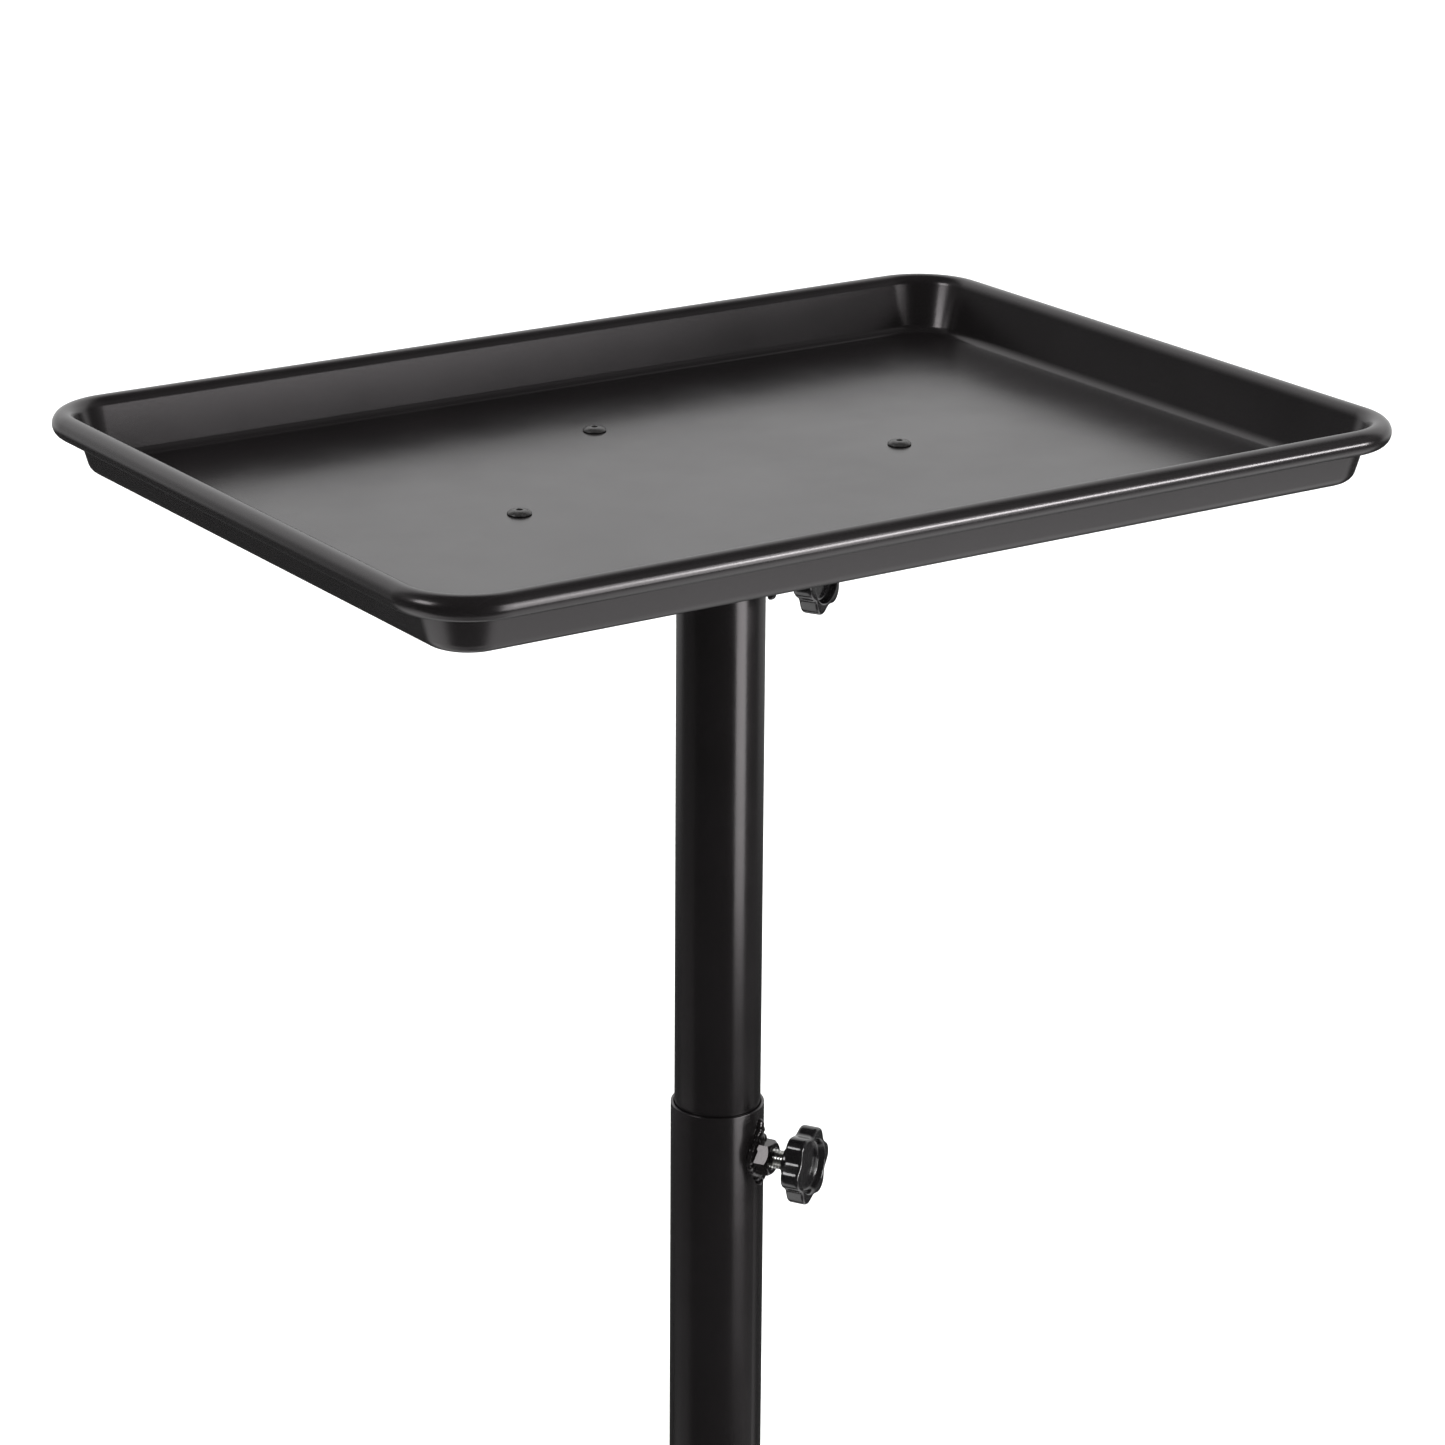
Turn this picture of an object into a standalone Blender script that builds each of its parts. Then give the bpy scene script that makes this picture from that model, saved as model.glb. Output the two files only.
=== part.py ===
"""Instrument cart: a rolled-rim tray on a two-stage clamped post with a four-leg castered base.

Origin at the centre of the footprint on the floor, +Z up. The tray's long side runs along X and
the working side faces -Y. Lengths are in metres.
"""

from math import cos, pi, radians, sin, tan

import bmesh
import bpy
from mathutils import Matrix

# ---- driving dimensions -------------------------------------------------------------------
GAP = 0.0003  # clearance between pieces that touch or are welded together

# Tray: pressed sheet with a rolled bead
TRAY_HALF_X = 0.2152  # to the centre of the bead
TRAY_HALF_Y = 0.1528
TRAY_CENTRE = (0.0045, 0.0067)  # the tray sits a little off the post's axis
BEAD_Z = 0.984  # height of the bead's centre above the floor
BEAD_RADIUS = 0.0048
BEAD_CORNER = 0.026  # plan radius of the bead's centre line at a corner
BEAD_END_DEG = -140  # where the curl stops, short of the wall
SHEET = 0.001
TRAY_DEPTH = 0.020  # from the bead's centre to the underside
WALL_DRAFT = radians(15.6)
FLOOR_FILLET = 0.0055  # on the outside
CORNER_STEPS = 6
RIVET_SPOTS = {
    "left": (-0.0915, -0.0003),
    "right": (0.0865, 0.0025),
    "rear": (-0.0045, 0.0847),
    "front": (-0.0020, -0.0872),
}
RIVET_HEAD, RIVET_CROWN = 0.00475, 0.0017  # radius and height of the domed head
RIVET_SHANK, RIVET_TAIL = 0.0024, 0.0036
RIVET_TAIL_LENGTH = 0.0036
RIVET_PIT = 0.0011  # radius of the pit left by the mandrel

# Bracket and socket under the tray
PLATE_THICK = 0.0025
ARM_WIDTH = 0.026
ARM_REACH_X = 0.104
ARM_REACH_Y = 0.098
SOCKET_OUTER, SOCKET_INNER = 0.0212, 0.0180
SOCKET_BOTTOM = BEAD_Z - 0.0615
TRAY_CLAMP_Z = BEAD_Z - 0.0518

# Post: two telescoping tubes
UPPER_OUTER, UPPER_INNER = 0.0175, 0.0160
LOWER_OUTER, LOWER_INNER = 0.0190, 0.0178
LOWER_TOP = BEAD_Z - 0.2805
POST_CLAMP_Z = LOWER_TOP - 0.0210
UPPER_BOTTOM = LOWER_TOP - 0.260  # leaves 100 mm in the lower tube at full height
CAP_FLANGE, CAP_LENGTH = 0.0025, 0.015
GLIDE_FLANGE, GLIDE_LENGTH, GLIDE_BORE = 0.004, 0.026, 0.012
FOOT_PLUG_LENGTH = 0.022

# Star clamp knobs, measured outwards from the face of the tube that carries the nut
CLAMP_AZIMUTH = radians(-59)
STUD_RADIUS = 0.0040  # M8
NUT_FLATS, NUT_THICK = 0.013, 0.006
HUB_START = 0.0120
HUB_RADIUS = 0.0068
LOBE_START, LOBE_END = 0.0160, 0.0240
KNOB_TIP, KNOB_VALLEY = 0.0160, 0.0129
KNOB_LOBES = 6
DISH_RADIUS, DISH_DEPTH = 0.0117, 0.0028
DISH_SLOPE = 0.003
KNOB_CHAMFER = 0.0006
STUD_COVER = 0.005  # plastic between the stud's end and the knob's face
STUD_CHAMFER = 0.0008
KNOB_TURN = {"tray": radians(40), "post": radians(35)}  # a lobe's angle from straight down

# Base: one through beam and two arms welded to its sides, on four casters
BEAM_BOTTOM, BEAM_HEIGHT, BEAM_WIDTH, BEAM_WALL = 0.068, 0.025, 0.050, 0.0015
BEAM_REACH = 0.288
STEM_REACH = 0.262
BOLT_RADIUS = 0.005  # M10
BOLT_FLATS, BOLT_HEAD = 0.017, 0.0064
WASHER_RADIUS, WASHER_THICK = 0.0105, 0.002
END_FLANGE, END_PLUG = 0.003, 0.013
LEGS = {"rear_right": 45, "rear_left": 135, "front_left": 225, "front_right": 315}

# Twin-wheel casters
WHEEL_RADIUS, WHEEL_WIDTH, WHEEL_INSET = 0.025, 0.017, 0.0045
WHEEL_STEPS = 24
TRAIL = 0.018
WEB_THICK = 0.007
HOOD_RADIUS, HOOD_THICK, HOOD_WIDTH = 0.0270, 0.0022, 0.0440
BOSS_RADIUS, BOSS_TOP = 0.0105, 0.0615
AXLE_RADIUS, AXLE_LENGTH = 0.003, 0.040
PIN_RADIUS, PIN_BOTTOM = 0.004, 0.045
COLLAR_RADIUS, COLLAR_THICK = 0.0085, 0.0048
THREAD_LENGTH, THREAD_CHAMFER = 0.019, 0.001
STEM_NUT_THICK = 0.008
HUB_CAP_RADIUS, HUB_CAP_SINK = 0.017, 0.0022
WHEEL_Z = WHEEL_RADIUS * cos(pi / WHEEL_STEPS)  # a flat of the tread rests on the floor

BLACK_COAT = (0.022, 0.021, 0.021)
COLOURS = {  # name: (base colour, roughness, metallic)
    "powder_coat": (BLACK_COAT, 0.38, 0.0),
    "rivet_black": ((0.018, 0.018, 0.018), 0.42, 0.4),
    "knob_plastic": ((0.012, 0.012, 0.013), 0.22, 0.0),
    "zinc_steel": ((0.62, 0.62, 0.60), 0.30, 1.0),
    "black_plastic": ((0.020, 0.020, 0.021), 0.50, 0.0),
    "wheel_grey": ((0.11, 0.11, 0.115), 0.60, 0.0),
}


# ---- scene and helpers --------------------------------------------------------------------
def clear_scene():
    for old in list(bpy.data.objects):
        bpy.data.objects.remove(old, do_unlink=True)


def new_collection(name):
    group = bpy.data.collections.new(name)
    bpy.context.scene.collection.children.link(group)
    return group


clear_scene()
CART = new_collection("instrument_cart")
CUTTERS = new_collection("cutters")


def material(name, finish):
    colour, roughness, metallic = COLOURS[finish]
    mat = bpy.data.materials.new(name)
    mat.use_nodes = True
    shader = mat.node_tree.nodes["Principled BSDF"]
    shader.inputs["Base Color"].default_value = (*colour, 1)
    shader.inputs["Roughness"].default_value = roughness
    shader.inputs["Metallic"].default_value = metallic
    return mat


def part(name, bm, finish=None, parent=None, matrix=None):
    """Makes an object from a bmesh. With no finish it is a cutter."""
    mesh = bpy.data.meshes.new(name)
    bm.to_mesh(mesh)
    bm.free()
    obj = bpy.data.objects.new(name, mesh)
    (CART if finish else CUTTERS).objects.link(obj)
    obj.parent = parent
    if matrix is not None:
        obj.matrix_local = matrix
    if finish:
        mesh.materials.append(material(name, finish))
    else:
        obj.hide_render = True
        obj.display_type = "WIRE"
    return obj


def smooth(obj, angle=35):
    obj.data.shade_smooth()
    obj.data.set_sharp_from_angle(angle=radians(angle))
    return obj


def pivot(name, location, azimuth=0.0, parent=None):
    empty = bpy.data.objects.new(name, None)
    CART.objects.link(empty)
    empty.parent = parent
    empty.location = location
    empty.rotation_euler = (0, 0, azimuth)
    return empty


def cut(obj, cutter, operation="DIFFERENCE"):
    modifier = obj.modifiers.new(cutter.name, "BOOLEAN")
    modifier.operation = operation
    modifier.solver = "EXACT"
    modifier.object = cutter


def turned(name, profile, finish, steps=32, ring=False, parent=None, matrix=None):
    """Turns a profile of (radius, height) points about Z. It runs down the outer side."""
    bm = bmesh.new()
    points = [bm.verts.new((r, 0, z)) for r, z in profile]
    pairs = list(zip(points, points[1:]))
    if ring:
        pairs.append((points[-1], points[0]))
    for first, second in pairs:
        bm.edges.new((first, second))
    obj = part(name, bm, finish, parent, matrix)
    screw = obj.modifiers.new("Turn", "SCREW")
    screw.axis = "Z"
    screw.angle = 2 * pi
    screw.steps = screw.render_steps = steps
    screw.use_merge_vertices = True
    screw.merge_threshold = 0.00001
    screw.use_smooth_shade = True
    return obj


def tube(name, outer, inner, bottom, top, finish, steps=48, parent=None, matrix=None):
    profile = [(outer, top), (outer, bottom), (inner, bottom), (inner, top)]
    return turned(name, profile, finish, steps, True, parent, matrix)


def cylinder(name, radius, length, finish=None, matrix=None, steps=16, parent=None):
    bm = bmesh.new()
    bmesh.ops.create_cone(
        bm, cap_ends=True, segments=steps, radius1=radius, radius2=radius, depth=length
    )
    return part(name, bm, finish, parent, matrix)


def box(name, size, centre, finish=None, matrix=None, parent=None):
    bm = bmesh.new()
    shape = Matrix.Translation(centre) @ Matrix.Diagonal((*size, 1))
    bmesh.ops.create_cube(bm, size=1, matrix=shape)
    return part(name, bm, finish, parent, matrix)


def outwards(azimuth):
    """A frame whose Z points along the azimuth, level with the floor."""
    return Matrix.Rotation(azimuth, 4, "Z") @ Matrix.Rotation(pi / 2, 4, "Y")


def loop(bm, points):
    """A closed ring of edges through the points."""
    verts = [bm.verts.new(point) for point in points]
    return [bm.edges.new((verts[i - 1], verts[i])) for i in range(len(verts))]


def skin(bm, rings):
    """Bridges each ring of edges to the next."""
    for first, second in zip(rings, rings[1:]):
        bmesh.ops.bridge_loops(bm, edges=first + second)


# ---- tray ---------------------------------------------------------------------------------
def rounded_outline(half_x, half_y, radius, z):
    points = []
    corners = ((1, 1, 0), (-1, 1, 90), (-1, -1, 180), (1, -1, 270))
    for side_x, side_y, start in corners:
        for step in range(CORNER_STEPS + 1):
            angle = radians(start + 90 * step / CORNER_STEPS)
            x = side_x * (half_x - radius) + radius * cos(angle)
            y = side_y * (half_y - radius) + radius * sin(angle)
            points.append((TRAY_CENTRE[0] + x, TRAY_CENTRE[1] + y, z))
    return points


def arc(centre, radius, start_deg, end_deg, steps):
    angles = [radians(start_deg + (end_deg - start_deg) * i / steps) for i in range(steps + 1)]
    return [(centre[0] + radius * cos(a), centre[1] + radius * sin(a)) for a in angles]


def tray_profile():
    """The upper skin, as (outwards, up) from the bead's centre, from the floor to the curl."""
    fillet = FLOOR_FILLET - SHEET
    floor = -(TRAY_DEPTH - SHEET)
    draft_deg = WALL_DRAFT * 180 / pi
    # The wall touches the bead's circle and the fillet's circle.
    centre_z = floor + fillet
    wall_at_centre = -BEAD_RADIUS / cos(WALL_DRAFT) + centre_z * tan(WALL_DRAFT)
    centre = (wall_at_centre - fillet / cos(WALL_DRAFT), centre_z)
    lower = arc(centre, fillet, -90, -draft_deg, 4)
    bead = arc((0, 0), BEAD_RADIUS, 180 - draft_deg, BEAD_END_DEG, 12)
    return lower + bead


def make_tray(parent):
    bm = bmesh.new()
    rings = []
    for out, up in tray_profile():
        points = rounded_outline(
            TRAY_HALF_X + out, TRAY_HALF_Y + out, BEAD_CORNER + out, BEAD_Z + up
        )
        rings.append(loop(bm, points))
    bmesh.ops.contextual_create(bm, geom=rings[0])
    skin(bm, rings)
    bmesh.ops.recalc_face_normals(bm, faces=bm.faces)
    floor = max(bm.faces, key=lambda face: face.calc_area())
    if floor.normal.z < 0:
        bmesh.ops.reverse_faces(bm, faces=bm.faces)
    tray = smooth(part("tray", bm, "powder_coat", parent), 50)
    tray.matrix_parent_inverse = parent.matrix_basis.inverted()
    sheet = tray.modifiers.new("Sheet", "SOLIDIFY")
    sheet.thickness = SHEET
    sheet.offset = -1
    return tray


def make_bracket(parent):
    """A flat cross: a square whose sides are drawn out into arms with rounded ends."""
    half = ARM_WIDTH / 2
    bm = bmesh.new()
    bmesh.ops.create_grid(bm, x_segments=1, y_segments=1, size=half)
    for edge in list(bm.edges):
        middle = (edge.verts[0].co + edge.verts[1].co) / 2
        drawn = bmesh.ops.extrude_edge_only(bm, edges=[edge])["geom"]
        reach = ARM_REACH_X if abs(middle.x) > abs(middle.y) else ARM_REACH_Y
        tips = [item for item in drawn if isinstance(item, bmesh.types.BMVert)]
        bmesh.ops.translate(bm, verts=tips, vec=middle.normalized() * (reach - half))
    inner = [v for v in bm.verts if v.co.length < 2 * half]
    ends = [v for v in bm.verts if v.co.length >= 2 * half]
    bmesh.ops.bevel(
        bm, geom=ends, offset=half * 0.8, affect="VERTICES", segments=4, profile=0.5, material=-1
    )
    bmesh.ops.dissolve_faces(bm, faces=bm.faces)
    bmesh.ops.bevel(
        bm, geom=inner, offset=0.010, affect="VERTICES", segments=4, profile=0.5, material=-1
    )
    top = BEAD_Z - TRAY_DEPTH - GAP
    bmesh.ops.translate(bm, verts=bm.verts, vec=(0, 0, top - PLATE_THICK))
    raised = bmesh.ops.extrude_face_region(bm, geom=bm.faces[:])["geom"]
    verts = [item for item in raised if isinstance(item, bmesh.types.BMVert)]
    bmesh.ops.translate(bm, verts=verts, vec=(0, 0, PLATE_THICK))
    bmesh.ops.recalc_face_normals(bm, faces=bm.faces)
    plate = part("tray_bracket", bm, "powder_coat", parent)
    plate.matrix_parent_inverse = parent.matrix_basis.inverted()
    return plate


def make_rivets(tray, bracket, parent):
    """Blind rivets: a domed head with a small centre pit, a shank and a set tail."""
    floor = BEAD_Z - TRAY_DEPTH + SHEET
    plate_bottom = BEAD_Z - TRAY_DEPTH - GAP - PLATE_THICK
    head_bottom = floor + GAP
    dome = [
        (RIVET_HEAD * cos(radians(a)), head_bottom + RIVET_CROWN * sin(radians(a)))
        for a in (70, 40, 12)
    ]
    pit_floor = head_bottom + RIVET_CROWN * 0.4
    tail_top = plate_bottom - GAP
    tail_end = tail_top - RIVET_TAIL_LENGTH
    tail_round = RIVET_TAIL * 0.4
    profile = [(0, pit_floor), (RIVET_PIT, pit_floor), (RIVET_PIT, dome[0][1])]
    profile += dome + [(RIVET_HEAD, head_bottom), (RIVET_SHANK, head_bottom)]
    profile += [(RIVET_SHANK, tail_top), (RIVET_TAIL, tail_top)]
    profile += [(RIVET_TAIL, tail_end + tail_round), (RIVET_TAIL - tail_round, tail_end)]
    profile.append((0, tail_end))
    for place, (x, y) in RIVET_SPOTS.items():
        spot = Matrix.Translation((x, y, 0))
        rivet = turned("tray_rivet_" + place, profile, "rivet_black", 12, False, parent, spot)
        rivet.matrix_parent_inverse = parent.matrix_basis.inverted()
        drill = cylinder(
            "drill_" + place, RIVET_SHANK + GAP, 0.02, None, Matrix.Translation((x, y, floor)), 12
        )
        cut(tray, drill)
        cut(bracket, drill)


# ---- clamps -------------------------------------------------------------------------------
def lobe_radius(angle):
    """Broad lobes with narrower valleys between them."""
    wave = 0.5 + 0.5 * cos(KNOB_LOBES * angle)
    return KNOB_VALLEY + (KNOB_TIP - KNOB_VALLEY) * wave**0.6


def knob_ring(bm, radius_at, height, steps=36):
    angles = [2 * pi * i / steps for i in range(steps)]
    return loop(bm, [(radius_at(a) * cos(a), radius_at(a) * sin(a), height) for a in angles])


def make_knob(name, parent):
    """The knob's axis is local Z. Rings run from the dish round the lobes to the stud's bore."""
    chamfer = KNOB_CHAMFER
    bore = STUD_RADIUS + GAP
    stations = (
        (lambda a: DISH_RADIUS - DISH_SLOPE, LOBE_END - DISH_DEPTH),
        (lambda a: DISH_RADIUS, LOBE_END),
        (lambda a: lobe_radius(a) - chamfer, LOBE_END),
        (lobe_radius, LOBE_END - chamfer),
        (lobe_radius, LOBE_START + chamfer),
        (lambda a: lobe_radius(a) - chamfer, LOBE_START),
        (lambda a: HUB_RADIUS + chamfer, LOBE_START),
        (lambda a: HUB_RADIUS, HUB_START),
        (lambda a: bore, HUB_START),
        (lambda a: bore, LOBE_END - STUD_COVER),
    )
    bm = bmesh.new()
    rings = [knob_ring(bm, radius_at, height) for radius_at, height in stations]
    bmesh.ops.contextual_create(bm, geom=rings[0])
    bmesh.ops.contextual_create(bm, geom=rings[-1])
    skin(bm, rings)
    bmesh.ops.recalc_face_normals(bm, faces=bm.faces)
    return smooth(part(name, bm, "knob_plastic", parent))


def make_clamp(prefix, carrier, carrier_name, carrier_radius, inner_tube, height, parent):
    """A nut on the carrier tube, a stud through both, and a star knob moulded on the stud."""
    to_world = Matrix.Translation((0, 0, height)) @ outwards(CLAMP_AZIMUTH)
    axis = bpy.data.objects.new(prefix + "_clamp_axis", None)
    CART.objects.link(axis)
    axis.parent = parent
    axis.matrix_local = parent.matrix_basis.inverted() @ to_world if parent else to_world
    face = carrier_radius + GAP
    knob = make_knob(prefix + "_knob", axis)
    knob.location.z = carrier_radius
    knob.rotation_euler.z = KNOB_TURN[prefix]
    tip = inner_tube + GAP
    stud_end = carrier_radius + LOBE_END - STUD_COVER - GAP
    stud_profile = [
        (0, stud_end),
        (STUD_RADIUS, stud_end),
        (STUD_RADIUS, tip + STUD_CHAMFER),
        (STUD_RADIUS - STUD_CHAMFER, tip),
        (0, tip),
    ]
    turned(prefix + "_knob_stud", stud_profile, "zinc_steel", 16, False, axis)
    bm = bmesh.new()
    bmesh.ops.create_cone(
        bm,
        cap_ends=True,
        segments=6,
        radius1=NUT_FLATS / 2 / cos(pi / 6),
        radius2=NUT_FLATS / 2 / cos(pi / 6),
        depth=NUT_THICK,
        matrix=Matrix.Translation((0, 0, face + NUT_THICK / 2)),
    )
    nut = part(carrier_name + "_nut", bm, "powder_coat", axis)
    drill_length = 2 * NUT_THICK + carrier_radius
    reach = Matrix.Translation((0, 0, carrier_radius))
    drill = cylinder(
        prefix + "_clamp_drill", STUD_RADIUS + GAP, drill_length, None, to_world @ reach, 16
    )
    cut(nut, drill)
    cut(carrier, drill)


# ---- post ---------------------------------------------------------------------------------
def make_upper_post():
    upper_axis = pivot("upper_post_slide", (0, 0, LOWER_TOP))
    plate_bottom = BEAD_Z - TRAY_DEPTH - GAP - PLATE_THICK
    cap_top = plate_bottom - GAP
    tube_top = cap_top - CAP_FLANGE - GAP
    to_local = Matrix.Translation((0, 0, -LOWER_TOP))
    tube(
        "upper_tube", UPPER_OUTER, UPPER_INNER, UPPER_BOTTOM, tube_top, "powder_coat",
        parent=upper_axis, matrix=to_local,
    )
    plug = UPPER_INNER - GAP
    cap = [(0, cap_top), (UPPER_OUTER, cap_top), (UPPER_OUTER, cap_top - CAP_FLANGE)]
    cap += [(plug, cap_top - CAP_FLANGE), (plug, cap_top - CAP_LENGTH), (0, cap_top - CAP_LENGTH)]
    turned("upper_tube_cap", cap, "black_plastic", 32, False, upper_axis, to_local)
    glide_top, flange = UPPER_BOTTOM + GLIDE_LENGTH, UPPER_BOTTOM - GAP
    glide_bottom = flange - GLIDE_FLANGE
    glide = [(plug, glide_top), (plug, flange), (UPPER_OUTER, flange)]
    glide += [(UPPER_OUTER, glide_bottom), (GLIDE_BORE, glide_bottom), (GLIDE_BORE, glide_top)]
    turned("upper_tube_glide", glide, "black_plastic", 32, True, upper_axis, to_local)


def make_lower_post():
    bottom = BEAM_BOTTOM + BEAM_HEIGHT + GAP
    lower = tube("lower_tube", LOWER_OUTER, LOWER_INNER, bottom, LOWER_TOP, "powder_coat")
    plug, hole = LOWER_INNER - GAP, BOLT_RADIUS + GAP
    tube("post_foot_plug", plug, hole, bottom, bottom + FOOT_PLUG_LENGTH, "zinc_steel", 32)
    return lower


# ---- base ---------------------------------------------------------------------------------
def hollow_beam(name, near, far, azimuth):
    """A rectangular tube from near to far along the azimuth, open at its ends."""
    turn = Matrix.Rotation(azimuth, 4, "Z")
    middle = BEAM_BOTTOM + BEAM_HEIGHT / 2
    centre = ((near + far) / 2, 0, middle)
    beam = box(name, (far - near, BEAM_WIDTH, BEAM_HEIGHT), centre, "powder_coat", turn)
    bore_size = (far - near + 0.02, BEAM_WIDTH - 2 * BEAM_WALL, BEAM_HEIGHT - 2 * BEAM_WALL)
    cut(beam, box("hollow_" + name, bore_size, centre, None, turn))
    return beam


def make_base():
    reach = BEAM_REACH
    side = BEAM_WIDTH / 2 + GAP
    through = hollow_beam("base_beam", -reach, reach, radians(LEGS["rear_right"]))
    beams = {
        "rear_right": through,
        "front_left": through,
        "rear_left": hollow_beam("base_arm_rear_left", side, reach, radians(LEGS["rear_left"])),
        "front_right": hollow_beam(
            "base_arm_front_right", side, reach, radians(LEGS["front_right"])
        ),
    }
    bolt_hole = cylinder("bolt_hole", BOLT_RADIUS + GAP, 0.06, None, Matrix.Translation((0, 0, 0.08)))
    cut(through, bolt_hole)
    for place, degrees in LEGS.items():
        end_cap(place, radians(degrees))
        caster(place, radians(degrees), beams[place])
    make_base_bolt()


def make_base_bolt():
    washer_top = BEAM_BOTTOM - GAP
    washer_bottom = washer_top - WASHER_THICK
    hole = BOLT_RADIUS + GAP
    tube("base_washer", WASHER_RADIUS, hole, washer_bottom, washer_top, "zinc_steel", 24)
    head_top = washer_bottom - GAP
    bm = bmesh.new()
    corner = BOLT_FLATS / 2 / cos(pi / 6)
    seat = Matrix.Translation((0, 0, head_top - BOLT_HEAD / 2))
    bmesh.ops.create_cone(
        bm, cap_ends=True, segments=6, radius1=corner, radius2=corner, depth=BOLT_HEAD, matrix=seat
    )
    bolt = part("base_bolt", bm, "zinc_steel")
    sunk = 0.001  # of the shank inside the head
    shank_length = BEAM_HEIGHT + FOOT_PLUG_LENGTH + WASHER_THICK + 2 * sunk
    shank = cylinder(
        "base_bolt_shank", BOLT_RADIUS, shank_length, None,
        Matrix.Translation((0, 0, head_top - sunk + shank_length / 2)), 16,
    )
    cut(bolt, shank, "UNION")


def end_cap(place, azimuth):
    """A push-in plastic plug with a flange that covers the beam's cut end."""
    turn = Matrix.Rotation(azimuth, 4, "Z")
    middle = BEAM_BOTTOM + BEAM_HEIGHT / 2
    start = BEAM_REACH + GAP
    cap = box(
        "base_end_cap_" + place, (END_FLANGE, BEAM_WIDTH, BEAM_HEIGHT),
        (start + END_FLANGE / 2, 0, middle), "black_plastic", turn,
    )
    inset = 2 * (BEAM_WALL + GAP)
    sunk = END_FLANGE / 3  # of the plug inside the flange
    plug_size = (END_PLUG + sunk, BEAM_WIDTH - inset, BEAM_HEIGHT - inset)
    plug_centre = (start + sunk - plug_size[0] / 2, 0, middle)
    plug = box("plug_" + place, plug_size, plug_centre, None, turn)
    cut(cap, plug, "UNION")


# ---- casters ------------------------------------------------------------------------------
def caster(place, azimuth, beam):
    """Local X points the way the wheels trail; the swivel axis is local Z."""
    name = "caster_" + place
    spot = (STEM_REACH * cos(azimuth), STEM_REACH * sin(azimuth), 0)
    swivel = pivot(name + "_swivel", spot, azimuth)
    caster_stem(name, swivel, beam)
    caster_housing(name, swivel)
    axle_frame = Matrix.Translation((TRAIL, 0, WHEEL_Z)) @ Matrix.Rotation(pi / 2, 4, "X")
    cylinder(name + "_axle", AXLE_RADIUS, AXLE_LENGTH, "zinc_steel", axle_frame, 12, swivel)
    # A wheel's outer face points along its local Z.
    for side, quarter in (("right", pi / 2), ("left", -pi / 2)):
        facing = Matrix.Rotation(quarter, 4, "X") @ Matrix.Rotation(pi / WHEEL_STEPS, 4, "Z")
        seat = Matrix.Translation((TRAIL, 0, WHEEL_Z)) @ facing
        caster_wheel(name + "_wheel_" + side, swivel, seat)


def caster_stem(name, swivel, beam):
    """A plain pivot pin below a hexagon collar, and an M10 thread above it."""
    collar_top = BEAM_BOTTOM - GAP
    collar_bottom = collar_top - COLLAR_THICK
    thread_top = BEAM_BOTTOM + THREAD_LENGTH
    profile = [
        (0, thread_top),
        (BOLT_RADIUS - THREAD_CHAMFER, thread_top),
        (BOLT_RADIUS, thread_top - THREAD_CHAMFER),
        (BOLT_RADIUS, collar_top),
        (COLLAR_RADIUS, collar_top),
        (COLLAR_RADIUS, collar_bottom),
        (PIN_RADIUS, collar_bottom),
        (PIN_RADIUS, PIN_BOTTOM),
        (0, PIN_BOTTOM),
    ]
    turned(name + "_stem", profile, "zinc_steel", 18, False, swivel)
    drill = cylinder(
        name + "_drill", BOLT_RADIUS + GAP, 6 * BEAM_WALL, None,
        swivel.matrix_basis @ Matrix.Translation((0, 0, BEAM_BOTTOM)), 16,
    )
    cut(beam, drill)
    inside = BEAM_BOTTOM + BEAM_WALL + GAP
    bm = bmesh.new()
    corner = BOLT_FLATS / 2 / cos(pi / 6)
    middle = Matrix.Translation((0, 0, inside + STEM_NUT_THICK / 2))
    bmesh.ops.create_cone(
        bm, cap_ends=True, segments=6, radius1=corner, radius2=corner, depth=STEM_NUT_THICK,
        matrix=middle,
    )
    nut = part(name + "_nut", bm, "zinc_steel", swivel)
    nut_drill = cylinder(
        name + "_nut_drill", BOLT_RADIUS + GAP, 2 * STEM_NUT_THICK, None,
        swivel.matrix_basis @ middle, 16,
    )
    cut(nut, nut_drill)


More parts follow.
